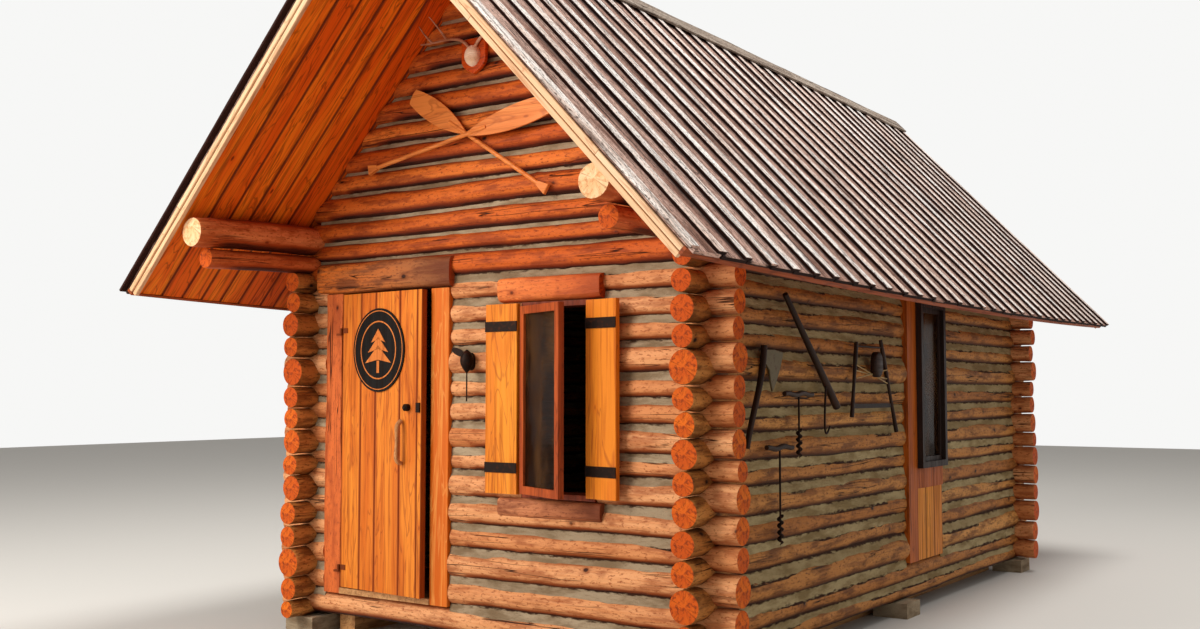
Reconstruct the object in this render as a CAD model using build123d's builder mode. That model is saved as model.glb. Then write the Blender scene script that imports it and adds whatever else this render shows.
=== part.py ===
"""Log cabin with saddle-notched corners, a board roof and one plank door.

The frame is +X to the right of the front wall, +Y to the back and +Z up.
The origin lies on the ground under the middle of the four walls.
"""
import os
from math import atan2, cos, degrees, hypot, radians, sin, sqrt, tan

from build123d import *

os.makedirs("parts", exist_ok=True)

# Walls: the width and length run between the centre lines of the logs
WALL_WIDTH = 3100
WALL_LENGTH = 5600
BASE_HEIGHT = 110
LOG_GAP = 7
CORNER_END = 245
SADDLE_CLEARANCE = 0.6
SEAT = 0.4

# Log diameters from the ground up, the two top side logs being the plates
SIDE_DIAMETERS = [115, 145, 190, 145, 155, 165, 135, 165, 135, 140, 190, 135, 155, 135, 130]
PLATE_DIAMETERS = [125, 190]
FRONT_DIAMETERS = [160, 165, 180, 140, 160, 165, 120, 165, 145, 135, 175, 135, 145, 140, 165, 120]
GABLE_DIAMETERS = [145, 165, 135, 150, 140, 155, 135, 150, 140, 150, 130]
FRONT_FIRST_HEIGHT = 95
FULL_LOGS_IN_GABLE = 2
RIDGE_POLE_DIAMETER = 170
CHINK_RECESS = 13
CHINK_CLEARANCE = 0.4

# Roof
ROOF_PITCH = 46.3
EAVE_OVERHANG = 600
EAVE_BOW = 75
FRONT_OVERHANG = 1160
BACK_OVERHANG = 1330
SOFFIT_THICKNESS = 22
STRAPPING_THICKNESS = 20
ROOF_BOARD_THICKNESS = 22
BATTEN_WIDTH = 62
BATTEN_THICKNESS = 20
BATTEN_SPACING = 250
RIDGE_CAP_WIDTH = 150
RIDGE_CAP_THICKNESS = 22
EAVE_BOARD_THICKNESS = 18
EAVE_BOARD_HEIGHT = 46
PLATE_LOG_REACH = [960, 1080]
RIDGE_POLE_SETBACK = 90
STRAP_WIDTH = 95
STRAP_COUNT = 5
RAKE_STRIP = 38
RAKE_THICKNESS = 38
RAKE_RECESSES = [0, 8]
RIDGE_GAP = 1
ROOF_BOARD_LAP = 34

# Foundation and floor
BLOCK_WIDTH = 260
FLOOR_TOP = 195
DECK_THICKNESS = 35
DECK_EDGE_GAP = 3
BEAM_WIDTH = 140
BEAM_COUNT = 3
BEAM_INSET = 150

# Door in the front wall, its X measured from the middle of the wall
DOOR_LEFT = -1218
DOOR_WIDTH = 806
DOOR_TOP = 2183
JAMB_WIDTH = 155
JAMB_FACE = 85
JAMB_DEPTH = 155
THRESHOLD_THICKNESS = 38
DOOR_HEADER_HEIGHT = 212
DOOR_HEADER_LEFT_SIDE = 72
DOOR_HEADER_RIGHT_SIDE = 16
HEADER_FACE = 112
HEADER_DEPTH = 185
HEADER_ROUNDING = 55
JAMB_ROUNDING = 14
LEAF_THICKNESS = 45
LEAF_GAP = 8
DOOR_AJAR = 5
HINGE_STANDOFF = 11
LEDGE_HEIGHT = 120
LEDGE_THICKNESS = 25
LEDGE_END_GAP = 60
LEDGE_COUNT = 3
LEDGE_SETBACK = 160
PIN_DIAMETER = 10
PIN_CLEARANCE = 0.6
EYE_DIAMETER = 19
EYE_HEIGHT = 34
PIN_LUG_HEIGHT = 14
PIN_LUG_LENGTH = 34
STRAP_THICKNESS = 4
STRAP_REACH = 60
HINGE_HEIGHTS = [320, 1900]
PULL_ALONG = 616
PULL_HEIGHT = 1197
PULL_LENGTH = 270
PULL_DIAMETER = 24
PULL_STANDOFF = 45
PULL_POST_DIAMETER = 18
KNOB_ALONG = 668
KNOB_HEIGHT = 1420
KNOB_DIAMETER = 46
KNOB_LENGTH = 40
KNOB_ROUNDING = 12
LATCH_ALONG = 766
LATCH_WIDTH = 34
LATCH_HEIGHT = 62
LATCH_THICKNESS = 9
SIGN_ALONG = 382
SIGN_HEIGHT = 1794
SIGN_WIDTH = 505
SIGN_TALL = 550
SIGN_THICKNESS = 9

# Window in the front wall
WINDOW_LEFT = 330
WINDOW_WIDTH = 540
WINDOW_BOTTOM = 885
WINDOW_TOP = 2062
WINDOW_HEADER_HEIGHT = 158
WINDOW_HEADER_FACE = 115
WINDOW_HEADER_ROUNDING = 50
WINDOW_LOG_LEFT_SIDE = 172
WINDOW_LOG_RIGHT_SIDE = 48
WINDOW_SILL_FACE = 108
WINDOW_SILL_ROUNDING = 40
WINDOW_SILL_HEIGHT = 122
FRAME_THICKNESS = 32
FRAME_DEPTH = 160
FRAME_FACE = 84
SASH_LAP = 6
SASH_STILE = 48
SASH_THICKNESS = 36
SASH_OPEN = 25
PANE_THICKNESS = 5
SHUTTER_WIDTHS = [246, 238]
SHUTTER_HEIGHT = 1150
SHUTTER_BOTTOM = 905
SHUTTER_THICKNESS = 34
SHUTTER_SIDE_GAP = 8
RIGHT_SHUTTER_LAP = 38
RIGHT_SHUTTER_SWING = 8
SHUTTER_STRAP_HEIGHT = 62
SHUTTER_STRAP_THICKNESS = 5
SHUTTER_STRAP_HEIGHTS = [1062, 1918]

# Closed doorway in the right wall, its Y measured from the middle of the wall
SIDE_OPENING_FRONT = 15
SIDE_OPENING_WIDTH = 740
SIDE_SILL_LOG = 1
SIDE_LINTEL_LOG = 14
WALL_CUT = 320
SIDE_POST_INSET = 25
SIDE_POST_WIDTH = 178
SIDE_POST_FACE = 95
SIDE_POST_DEPTH = 165
SIDE_PANEL_TOP = 800
SIDE_PANEL_FACE = 88
SIDE_PANEL_THICKNESS = 42
SIDE_RAIL_HEIGHT = 150
SIDE_RAIL_FACE = 96
SIDE_WINDOW_FACE = 140
SIDE_WINDOW_DEPTH = 200
SIDE_FRAME_THICKNESS = 46
SIDE_SASH_RECESS = 30
SIDE_STILE = 34
SIDE_SASH_THICKNESS = 40

# Crossed paddles on the front gable: X and height of the middle of each blade's end and grip
LEFT_PADDLE_BLADE_END = (-568, 3446)
LEFT_PADDLE_GRIP_END = (531, 2734)
LEFT_PADDLE_BLADE_LENGTH = 524
RIGHT_PADDLE_BLADE_END = (600, 3254)
RIGHT_PADDLE_GRIP_END = (-938, 2992)
RIGHT_PADDLE_BLADE_LENGTH = 683
PADDLE_SHAFT_DIAMETER = 28
PADDLE_BLADE_WIDTH = 150
PADDLE_END_WIDTH = 104
PADDLE_END_BOW = 9
PADDLE_WIDEST_FROM_END = 220
PADDLE_BLADE_THICKNESS = 13
PADDLE_SHAFT_IN_BLADE = 150
PADDLE_GRIP_WIDTH = 68
PADDLE_GRIP_LENGTH = 85
PADDLE_GRIP_ROUNDING = 9
PADDLE_GRIP_LONG_EDGE = 42

# Plaque with antlers at the top of the gable
PLAQUE_X = -57
PLAQUE_HEIGHT = 3640
PLAQUE_WIDTH = 200
PLAQUE_TALL = 230
PLAQUE_POINT = 95
PLAQUE_CHEEK = (67, -77)
PLAQUE_THICKNESS = 24
PLAQUE_CAP_WIDTH = 106
PLAQUE_CAP_TALL = 126
PLAQUE_CAP_DEPTH = 46
PLAQUE_CAP_FRONT = 0.5
ANTLER_DIAMETER = 22
ANTLER_BEAM = [(20, 34, 46), (150, 60, 122), (262, 115, 102), (318, 165, 88)]
ANTLER_TINES = [((180, 72, 120), (262, 150, 270)), ((262, 115, 102), (338, 160, 218))]
TINE_TAPER = 2.4

# Iron ornament between the door and the window, with a rod that hangs from it
ORNAMENT_X = -60
ORNAMENT_HEIGHT = 1708
ORNAMENT_PLATE_WIDTH = 58
ORNAMENT_PLATE_TALL = 110
ORNAMENT_PLATE_THICKNESS = 8
ORNAMENT_STEM = 29
ORNAMENT_BODY_WIDTH = 84
ORNAMENT_BODY_TALL = 150
ORNAMENT_BODY_SHOULDER = (28, 50)
ORNAMENT_BODY_HIP = (21, -50)
ORNAMENT_LEAF_WIDTH = 44
ORNAMENT_LEAF_LENGTH = 112
ORNAMENT_LEAF_TILT = 158
ORNAMENT_LEAF_LAP = 24
ORNAMENT_LEAF_RISE = 38
ORNAMENT_LEAF_THICKNESS = 8
ORNAMENT_ROD_DIAMETER = 9
ORNAMENT_ROD_BOTTOM = 1462

# Hand tools on the right wall: Y and height of their ends, measured from the middle of the wall
AXE_BLADE = [(-2285, 1768), (-2052, 1757), (-2112, 1632), (-2197, 1522), (-2232, 1645), (-2285, 1688)]
AXE_THICKNESS = 13
AXE_HANDLE = [(-2292, 1792), (-2322, 1640), (-2398, 1462), (-2512, 1200)]
AXE_HANDLE_DIAMETER = 29
HOOK_HANDLE_TOP = (-2033, 2108)
HOOK_HANDLE_FOOT = (-1298, 1423)
HOOK_HANDLE_DIAMETER = 50
HOOK_HANDLE_TAPER = 0.66
HOOK_PIVOT_FROM_FOOT = 255
HOOK_LENGTH = 330
HOOK_DIAMETER = 16
HOOK_BARB = (60, 42)
HOOK_BEND = 20
AUGER_TOPS = [(-1848, 1507), (-2112, 1190)]
AUGER_FEET = [1115, 615]
AUGER_HANDLE_LENGTHS = [390, 340]
AUGER_HANDLE_DIAMETER = 34
AUGER_SHAFT_DIAMETER = 13
AUGER_BIT_DIAMETER = 29
AUGER_BIT_LENGTH = 176
AUGER_BIT_LOBES = 4
SAW_POSTS = [((-937, 1856), (-1027, 1352)), ((-514, 1880), (-240, 1236))]
SAW_POST_WIDTH = 30
SAW_TOP_HEIGHT = 1829
SAW_TOP_DIAMETER = 16
SAW_BLADE_HEIGHT = 1424
SAW_BLADE_TALL = 30
SAW_BLADE_THICKNESS = 3
SAW_CORD_HEIGHTS = [(1664, 1612), (1612, 1676)]
SAW_CORD_DIAMETER = 8
PULLEY_CENTRE = (-655, 1708)
PULLEY_WIDTH = 128
PULLEY_TALL = 176
PULLEY_THICKNESS = 52
PULLEY_ROUNDING = 14


def stack(first, diameters):
    """Heights of log centres, each log lying LOG_GAP above the one below it in its wall."""
    heights = [first]
    for lower, upper in zip(diameters, diameters[1:]):
        heights.append(heights[-1] + (lower + upper) / 2 + LOG_GAP)
    return heights


def along_x(x, y, z):
    """Plane whose normal is +X, for a profile that runs across the front."""
    return Plane(origin=(x, y, z), x_dir=(0, 1, 0), z_dir=(1, 0, 0))


def along_y(x, y, z):
    """Plane whose normal is +Y, for a profile that runs down the side."""
    return Plane(origin=(x, y, z), x_dir=(-1, 0, 0), z_dir=(0, 1, 0))


half_width = WALL_WIDTH / 2
half_length = WALL_LENGTH / 2
side_diameters = SIDE_DIAMETERS + PLATE_DIAMETERS
end_diameters = FRONT_DIAMETERS + GABLE_DIAMETERS
side_heights = stack(BASE_HEIGHT + SIDE_DIAMETERS[0] / 2, side_diameters)
end_heights = stack(BASE_HEIGHT + FRONT_FIRST_HEIGHT, end_diameters)
slope = tan(radians(ROOF_PITCH))
soffit_at_wall = side_heights[-1] + PLATE_DIAMETERS[-1] / 2 / cos(radians(ROOF_PITCH)) + SEAT
ridge_soffit = soffit_at_wall + half_width * slope
roof_front = -half_length - FRONT_OVERHANG
roof_back = half_length + BACK_OVERHANG


def notched_log(plane, diameter, length, saddles):
    """A round log with a saddle cut in its underside over each log that it crosses."""
    with BuildPart() as log:
        with BuildSketch(plane):
            Circle(diameter / 2)
        extrude(amount=length)
        for saddle_plane, saddle_diameter in saddles:
            with BuildSketch(saddle_plane):
                Circle(saddle_diameter / 2 + SADDLE_CLEARANCE)
            extrude(amount=diameter, both=True, mode=Mode.SUBTRACT)
    return log.part


def logs_below(height, diameter, heights, diameters):
    """The crossing logs that reach up into a log at this height."""
    crossing = []
    for low, size in zip(heights, diameters):
        if low < height < low + (size + diameter) / 2:
            crossing.append((low, size))
    return crossing


def end_wall_log(y, height, diameter, reach):
    """A log of the front or back wall, saddled over the side logs."""
    saddles = []
    for low, size in logs_below(height, diameter, side_heights, side_diameters):
        for x in (-half_width, half_width):
            saddles.append((along_y(x, y, low), size))
    return notched_log(along_x(-reach, y, height), diameter, 2 * reach, saddles)


def side_wall_log(x, height, diameter, front, back):
    """A log of a side wall, saddled over the front and back logs."""
    saddles = []
    for low, size in logs_below(height, diameter, end_heights, end_diameters):
        for y in (-half_length, half_length):
            saddles.append((along_x(x, y, low), size))
    return notched_log(along_y(x, front, height), diameter, back - front, saddles)


def roof_prism(offset):
    """Outline under the roof, a triangle down to the ground, offset below the soffit."""
    drop = offset / cos(radians(ROOF_PITCH))
    peak = ridge_soffit - drop
    reach = peak / slope
    return [(-reach, 0), (reach, 0), (0, peak)]


def write(builder, name):
    """Label a finished piece and write its STEP file."""
    builder.part.label = name
    export_step(builder.part, f"parts/{name}.step")


# Foundation: blocks under the corners and under the middle of each side wall
with BuildPart() as foundation_blocks:
    with BuildSketch(Plane.XY):
        with GridLocations(WALL_WIDTH, half_length, 2, 3):
            Rectangle(BLOCK_WIDTH, BLOCK_WIDTH)
    extrude(amount=BASE_HEIGHT - SEAT)
write(foundation_blocks, "foundation_blocks")

# Floor: a plank deck on beams that lie on the ground between the walls
deck_width = WALL_WIDTH - max(SIDE_DIAMETERS) - 2 * DECK_EDGE_GAP
deck_length = WALL_LENGTH - max(FRONT_DIAMETERS) - 2 * DECK_EDGE_GAP
deck_top = BASE_HEIGHT + FLOOR_TOP
beam_length = WALL_LENGTH - FRONT_DIAMETERS[0] - 2 * SEAT
with BuildPart() as floor_beams:
    with BuildSketch(Plane.XY):
        with GridLocations((deck_width - 2 * BEAM_INSET) / (BEAM_COUNT - 1), 0, BEAM_COUNT, 1):
            Rectangle(BEAM_WIDTH, beam_length)
    extrude(amount=deck_top - DECK_THICKNESS - SEAT)
write(floor_beams, "floor_beams")

with BuildPart() as floor_deck:
    with BuildSketch(Plane.XY.offset(deck_top - DECK_THICKNESS)):
        Rectangle(deck_width, deck_length)
    extrude(amount=DECK_THICKNESS)
write(floor_deck, "floor_deck")

# Rectangles of the front wall, left, right, bottom and top, that its logs and chinking leave free
door_right = DOOR_LEFT + DOOR_WIDTH
door_top = BASE_HEIGHT + DOOR_TOP
threshold_bottom = end_heights[0] + end_diameters[0] / 2 + SEAT
header_left = DOOR_LEFT - JAMB_WIDTH - DOOR_HEADER_LEFT_SIDE
header_right = door_right + JAMB_WIDTH + DOOR_HEADER_RIGHT_SIDE
window_right = WINDOW_LEFT + WINDOW_WIDTH
window_bottom = BASE_HEIGHT + WINDOW_BOTTOM
window_top = BASE_HEIGHT + WINDOW_TOP
window_log_left = WINDOW_LEFT - WINDOW_LOG_LEFT_SIDE
window_log_right = window_right + WINDOW_LOG_RIGHT_SIDE
doorway = (DOOR_LEFT - JAMB_WIDTH, door_right + JAMB_WIDTH, threshold_bottom, door_top)
door_header_box = (header_left, header_right, door_top, door_top + DOOR_HEADER_HEIGHT)
window_box = (WINDOW_LEFT, window_right, window_bottom, window_top)
window_header_box = (window_log_left, window_log_right, window_top, window_top + WINDOW_HEADER_HEIGHT)
window_sill_box = (window_log_left, window_log_right, window_bottom - WINDOW_SILL_HEIGHT, window_bottom)
front_cutouts = [doorway, door_header_box, window_box, window_header_box, window_sill_box]

# Rectangle of the right wall, front, back, bottom and top, that its logs and chinking leave free
side_opening_back = SIDE_OPENING_FRONT + SIDE_OPENING_WIDTH
side_opening_bottom = side_heights[SIDE_SILL_LOG] + side_diameters[SIDE_SILL_LOG] / 2
side_opening_top = side_heights[SIDE_LINTEL_LOG] - side_diameters[SIDE_LINTEL_LOG] / 2
side_opening = (SIDE_OPENING_FRONT, side_opening_back, side_opening_bottom, side_opening_top)


def rectangle_between(left, right, bottom, top, margin=0):
    """A rectangle between these edges of the sketch plane, wider by the margin all round."""
    with Locations(((left + right) / 2, (bottom + top) / 2)):
        Rectangle(right - left + 2 * margin, top - bottom + 2 * margin)


def end_wall_zone(logs, y, low_x, high_x, cutouts):
    """The stretch of an end wall between two places along it, with its openings cut out."""
    with BuildPart() as zone:
        add(logs)
        with BuildSketch(Plane.XZ.offset(-y)):
            rectangle_between(low_x, high_x, 0, ridge_soffit)
        extrude(amount=WALL_CUT, both=True, mode=Mode.INTERSECT)
        if cutouts:
            with BuildSketch(Plane.XZ.offset(-y)):
                for cutout in cutouts:
                    rectangle_between(*cutout, margin=SEAT)
            extrude(amount=WALL_CUT, both=True, mode=Mode.SUBTRACT)
    return zone


def gable_zone(logs, y, cutouts):
    """Logs or chinking trimmed under the roof and around the ridge pole."""
    with BuildPart() as zone:
        add(logs)
        with BuildSketch(Plane.XZ.offset(-y)):
            Polygon(*roof_prism(SEAT), align=None)
        extrude(amount=WALL_CUT, both=True, mode=Mode.INTERSECT)
        with BuildSketch(Plane.XZ.offset(-y)):
            with Locations((0, ridge_pole_height)):
                Circle(RIDGE_POLE_DIAMETER / 2 + SADDLE_CLEARANCE)
            for cutout in cutouts:
                rectangle_between(*cutout, margin=SEAT)
        extrude(amount=WALL_CUT, both=True, mode=Mode.SUBTRACT)
    return zone


# End walls: whole logs below, cut ends beside the openings, gable logs under the roof
ridge_pole_height = ridge_soffit - RIDGE_POLE_DIAMETER / 2 / cos(radians(ROOF_PITCH)) - SEAT
gable_start = len(FRONT_DIAMETERS) - FULL_LOGS_IN_GABLE
plate_top_log = len(FRONT_DIAMETERS)
end_sizes = list(zip(end_heights, end_diameters))


def gable_logs(y):
    """Logs from the level of the door header up, those over the plates ending on them."""
    logs = []
    for number, (height, diameter) in enumerate(end_sizes):
        if gable_start <= number and height < ridge_pole_height:
            reach = half_width + (CORNER_END if number < plate_top_log else 0)
            logs.append(end_wall_log(y, height, diameter, reach))
    return logs


wall_reach = half_width + CORNER_END
full_sizes = end_sizes[:gable_start]
front_rows = [end_wall_log(-half_length, z, size, wall_reach) for z, size in full_sizes]
back_rows = [end_wall_log(half_length, z, size, wall_reach) for z, size in full_sizes]
door_middle = DOOR_LEFT + DOOR_WIDTH / 2

with BuildPart() as front_sill_log:
    add(front_rows[0])
write(front_sill_log, "front_sill_log")
cut_rows = front_rows[1:]
front_left = end_wall_zone(cut_rows, -half_length, -wall_reach, door_middle, front_cutouts)
write(front_left, "front_logs_left")
front_right = end_wall_zone(cut_rows, -half_length, door_middle, wall_reach, front_cutouts)
write(front_right, "front_logs_right")
write(gable_zone(gable_logs(-half_length), -half_length, front_cutouts), "front_gable_logs")
with BuildPart() as back_wall_logs:
    add(back_rows)
    add(gable_zone(gable_logs(half_length), half_length, []).part)
write(back_wall_logs, "back_wall_logs")

# Side walls: the right one has a closed doorway, the two top logs carry the porch roof
side_rows = list(zip(side_heights, SIDE_DIAMETERS))
side_reach = half_length + CORNER_END
with BuildPart() as left_wall_logs:
    add([side_wall_log(-half_width, z, size, -side_reach, side_reach) for z, size in side_rows])
write(left_wall_logs, "left_wall_logs")

with BuildPart() as right_wall_logs:
    add([side_wall_log(half_width, z, size, -side_reach, side_reach) for z, size in side_rows])
    with BuildSketch(Plane.YZ.offset(half_width)):
        rectangle_between(*side_opening, margin=SEAT)
    extrude(amount=WALL_CUT, both=True, mode=Mode.SUBTRACT)
write(right_wall_logs, "right_wall_logs")

plates = []
for z, size, reach in zip(side_heights[len(SIDE_DIAMETERS):], PLATE_DIAMETERS, PLATE_LOG_REACH):
    for x in (-half_width, half_width):
        plates.append(side_wall_log(x, z, size, -half_length - reach, half_length + reach))
with BuildPart() as plate_logs:
    add(plates)
write(plate_logs, "plate_logs")

with BuildPart() as ridge_pole:
    with BuildSketch(along_y(0, roof_front + RIDGE_POLE_SETBACK, ridge_pole_height)):
        Circle(RIDGE_POLE_DIAMETER / 2)
    extrude(amount=roof_back - roof_front - 2 * RIDGE_POLE_SETBACK)
write(ridge_pole, "ridge_pole")


def chink_strip(plane_at, lower, upper, length):
    """Mortar between two logs, its top and bottom hollowed to their round faces."""
    (low, low_size), (high, high_size) = lower, upper
    middle = (low + high) / 2
    with BuildPart() as strip:
        with BuildSketch(plane_at(middle)):
            Rectangle(min(low_size, high_size) - 2 * CHINK_RECESS, high - low)
            with Locations((0, low - middle)):
                Circle(low_size / 2 + CHINK_CLEARANCE, mode=Mode.SUBTRACT)
            with Locations((0, high - middle)):
                Circle(high_size / 2 + CHINK_CLEARANCE, mode=Mode.SUBTRACT)
        extrude(amount=length)
    return strip.part


def crossing_radius(height, heights, diameters):
    """Radius of the crossing log whose centre is nearest to this height."""
    nearest = min(zip(heights, diameters), key=lambda row: abs(row[0] - height))
    return nearest[1] / 2


def end_wall_chinking(y):
    """Strips between all logs of an end wall, from corner to corner."""
    strips = []
    for lower, upper in zip(end_sizes, end_sizes[1:]):
        if upper[0] < ridge_pole_height:
            middle = (lower[0] + upper[0]) / 2
            reach = half_width - crossing_radius(middle, side_heights, side_diameters) - SEAT
            strips.append(chink_strip(lambda z: along_x(-reach, y, z), lower, upper, 2 * reach))
    return strips


def side_wall_chinking(x):
    """Strips between all logs of a side wall, from corner to corner."""
    strips = []
    rows = list(zip(side_heights, side_diameters))
    for lower, upper in zip(rows, rows[1:]):
        middle = (lower[0] + upper[0]) / 2
        reach = half_length - crossing_radius(middle, end_heights, end_diameters) - SEAT
        strips.append(chink_strip(lambda z: along_y(x, -reach, z), lower, upper, 2 * reach))
    return strips


with BuildPart() as end_chinking:
    add(gable_zone(end_wall_chinking(-half_length), -half_length, front_cutouts).part)
    add(gable_zone(end_wall_chinking(half_length), half_length, []).part)
write(end_chinking, "end_chinking")
with BuildPart() as side_chinking:
    add(side_wall_chinking(half_width))
    with BuildSketch(Plane.YZ.offset(half_width)):
        rectangle_between(*side_opening, margin=SEAT)
    extrude(amount=WALL_CUT, both=True, mode=Mode.SUBTRACT)
    add(side_wall_chinking(-half_width))
write(side_chinking, "side_chinking")


def hewn_log(left, right, bottom, top, face, depth, rounding):
    """A log hewn flat above, below and behind, with its front edges left round."""
    with BuildPart() as beam:
        with BuildSketch(along_x(left, -half_length - face + depth / 2, (bottom + top) / 2)):
            Rectangle(depth, top - bottom)
        extrude(amount=right - left)
        front_edges = beam.edges().filter_by(Axis.X).group_by(Axis.Y)[0]
        fillet(front_edges, radius=rounding)
    return beam


write(hewn_log(*door_header_box, HEADER_FACE, HEADER_DEPTH, HEADER_ROUNDING), "door_header")
write(hewn_log(*window_header_box, WINDOW_HEADER_FACE, HEADER_DEPTH, WINDOW_HEADER_ROUNDING), "window_header")
write(hewn_log(*window_sill_box, WINDOW_SILL_FACE, HEADER_DEPTH, WINDOW_SILL_ROUNDING), "window_sill")

# Door frame: two hewn posts and a threshold on the sill log
threshold_top = threshold_bottom + THRESHOLD_THICKNESS
with BuildPart() as door_jambs:
    with BuildSketch(Plane.XY.offset(threshold_bottom)):
        for middle in (DOOR_LEFT - JAMB_WIDTH / 2, door_right + JAMB_WIDTH / 2):
            with Locations((middle, -half_length - JAMB_FACE + JAMB_DEPTH / 2)):
                Rectangle(JAMB_WIDTH, JAMB_DEPTH)
    extrude(amount=door_top - threshold_bottom)
    front_edges = door_jambs.edges().filter_by(Axis.Z).group_by(Axis.Y)[0]
    fillet(front_edges, radius=JAMB_ROUNDING)
write(door_jambs, "door_jambs")

with BuildPart() as door_threshold:
    with BuildSketch(Plane.XY.offset(threshold_bottom)):
        with Locations((door_middle, -half_length - JAMB_FACE + JAMB_DEPTH / 2)):
            Rectangle(DOOR_WIDTH - 2 * SEAT, JAMB_DEPTH)
    extrude(amount=THRESHOLD_THICKNESS)
write(door_threshold, "door_threshold")

# Door: its leaf stands ajar, turned about the hinge axis
hinge_x = DOOR_LEFT + LEAF_GAP / 2
hinge_y = -half_length - JAMB_FACE - HINGE_STANDOFF
leaf_bottom = threshold_top + LEAF_GAP
leaf_height = door_top - LEAF_GAP - leaf_bottom
leaf_width = DOOR_WIDTH - 2 * LEAF_GAP


def door_plane(height):
    """Level plane on the hinge axis, its X along the leaf and its Y into the cabin."""
    swing = radians(DOOR_AJAR)
    return Plane(origin=(hinge_x, hinge_y, height), x_dir=(cos(swing), -sin(swing), 0), z_dir=(0, 0, 1))


with BuildPart() as door_leaf:
    with BuildSketch(door_plane(leaf_bottom)):
        with Locations((LEAF_GAP / 2 + leaf_width / 2, HINGE_STANDOFF + LEAF_THICKNESS / 2)):
            Rectangle(leaf_width, LEAF_THICKNESS)
    extrude(amount=leaf_height)
write(door_leaf, "door_leaf")

with BuildPart() as door_ledges:
    ledge_y = HINGE_STANDOFF + LEAF_THICKNESS + LEDGE_THICKNESS / 2
    ledge_step = (leaf_height - 2 * LEDGE_SETBACK - LEDGE_HEIGHT) / (LEDGE_COUNT - 1)
    for number in range(LEDGE_COUNT):
        with BuildSketch(door_plane(leaf_bottom + LEDGE_SETBACK + number * ledge_step)):
            with Locations((LEAF_GAP / 2 + leaf_width / 2, ledge_y)):
                Rectangle(leaf_width - 2 * LEDGE_END_GAP, LEDGE_THICKNESS)
        extrude(amount=LEDGE_HEIGHT)
write(door_ledges, "door_ledges")

with BuildPart() as door_hinge_pins:
    for height in HINGE_HEIGHTS:
        pin_bottom = BASE_HEIGHT + height
        with BuildSketch(Plane.XY.offset(pin_bottom)):
            with Locations((hinge_x, hinge_y)):
                Circle(PIN_DIAMETER / 2)
        extrude(amount=PIN_LUG_HEIGHT + EYE_HEIGHT + 2 * PIN_CLEARANCE)
        with BuildSketch(Plane.XY.offset(pin_bottom)):
            with Locations((hinge_x, hinge_y)):
                Circle(EYE_DIAMETER / 2)
            with Locations((hinge_x - PIN_LUG_LENGTH / 2, hinge_y)):
                Rectangle(PIN_LUG_LENGTH, 2 * (HINGE_STANDOFF - PIN_CLEARANCE))
        extrude(amount=PIN_LUG_HEIGHT)
write(door_hinge_pins, "door_hinge_pins")

with BuildPart() as door_hinge_straps:
    for height in HINGE_HEIGHTS:
        eye_bottom = BASE_HEIGHT + height + PIN_LUG_HEIGHT + PIN_CLEARANCE
        with BuildSketch(door_plane(eye_bottom)):
            Circle(EYE_DIAMETER / 2)
            rectangle_between(0, STRAP_REACH, HINGE_STANDOFF - SEAT - STRAP_THICKNESS, HINGE_STANDOFF - SEAT)
            Circle(PIN_DIAMETER / 2 + PIN_CLEARANCE, mode=Mode.SUBTRACT)
        extrude(amount=EYE_HEIGHT)
write(door_hinge_straps, "door_hinge_straps")


def ring(left, right, bottom, top, thickness):
    """A rectangular frame between these edges of the sketch plane."""
    rectangle_between(left, right, bottom, top)
    with Locations(((left + right) / 2, (bottom + top) / 2)):
        Rectangle(right - left - 2 * thickness, top - bottom - 2 * thickness, mode=Mode.SUBTRACT)


# Front window: a frame in the wall and one casement that stands open on its left side
with BuildPart() as window_frame:
    with BuildSketch(Plane.XZ.offset(half_length + FRAME_FACE)):
        ring(WINDOW_LEFT, window_right, window_bottom + SEAT, window_top - SEAT, FRAME_THICKNESS)
    extrude(amount=-FRAME_DEPTH)
write(window_frame, "window_frame")

sash_width = WINDOW_WIDTH - 2 * (FRAME_THICKNESS - SASH_LAP)
sash_height = WINDOW_TOP - WINDOW_BOTTOM - 2 * (FRAME_THICKNESS - SASH_LAP)
sash_bottom = window_bottom + FRAME_THICKNESS - SASH_LAP
sash_swing = radians(SASH_OPEN)
sash_plane = Plane(
    origin=(WINDOW_LEFT + FRAME_THICKNESS - SASH_LAP, -half_length - FRAME_FACE - SEAT, sash_bottom),
    x_dir=(cos(sash_swing), -sin(sash_swing), 0),
    z_dir=(-sin(sash_swing), -cos(sash_swing), 0),
)
with BuildPart() as window_sash:
    with BuildSketch(sash_plane):
        ring(0, sash_width, 0, sash_height, SASH_STILE)
    extrude(amount=SASH_THICKNESS)
write(window_sash, "window_sash")

# Shutters: single boards, the left one flat on the logs and the right one swung off them
shutter_bottom = BASE_HEIGHT + SHUTTER_BOTTOM
shutter_top = shutter_bottom + SHUTTER_HEIGHT
front_log_face = max(size for z, size in end_sizes if shutter_bottom < z < shutter_top) / 2
left_shutter_plane = Plane(
    origin=(WINDOW_LEFT - SHUTTER_SIDE_GAP - SHUTTER_WIDTHS[0], -half_length - front_log_face - SEAT, 0),
    x_dir=(1, 0, 0),
    z_dir=(0, -1, 0),
)
shutter_swing = radians(RIGHT_SHUTTER_SWING)
right_shutter_plane = Plane(
    origin=(window_right - RIGHT_SHUTTER_LAP, -half_length - FRAME_FACE - SEAT, 0),
    x_dir=(cos(shutter_swing), -sin(shutter_swing), 0),
    z_dir=(-sin(shutter_swing), -cos(shutter_swing), 0),
)
with BuildPart() as shutters:
    for plane, width in zip((left_shutter_plane, right_shutter_plane), SHUTTER_WIDTHS):
        with BuildSketch(plane):
            rectangle_between(0, width, shutter_bottom, shutter_top)
        extrude(amount=SHUTTER_THICKNESS)
write(shutters, "shutters")

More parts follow.
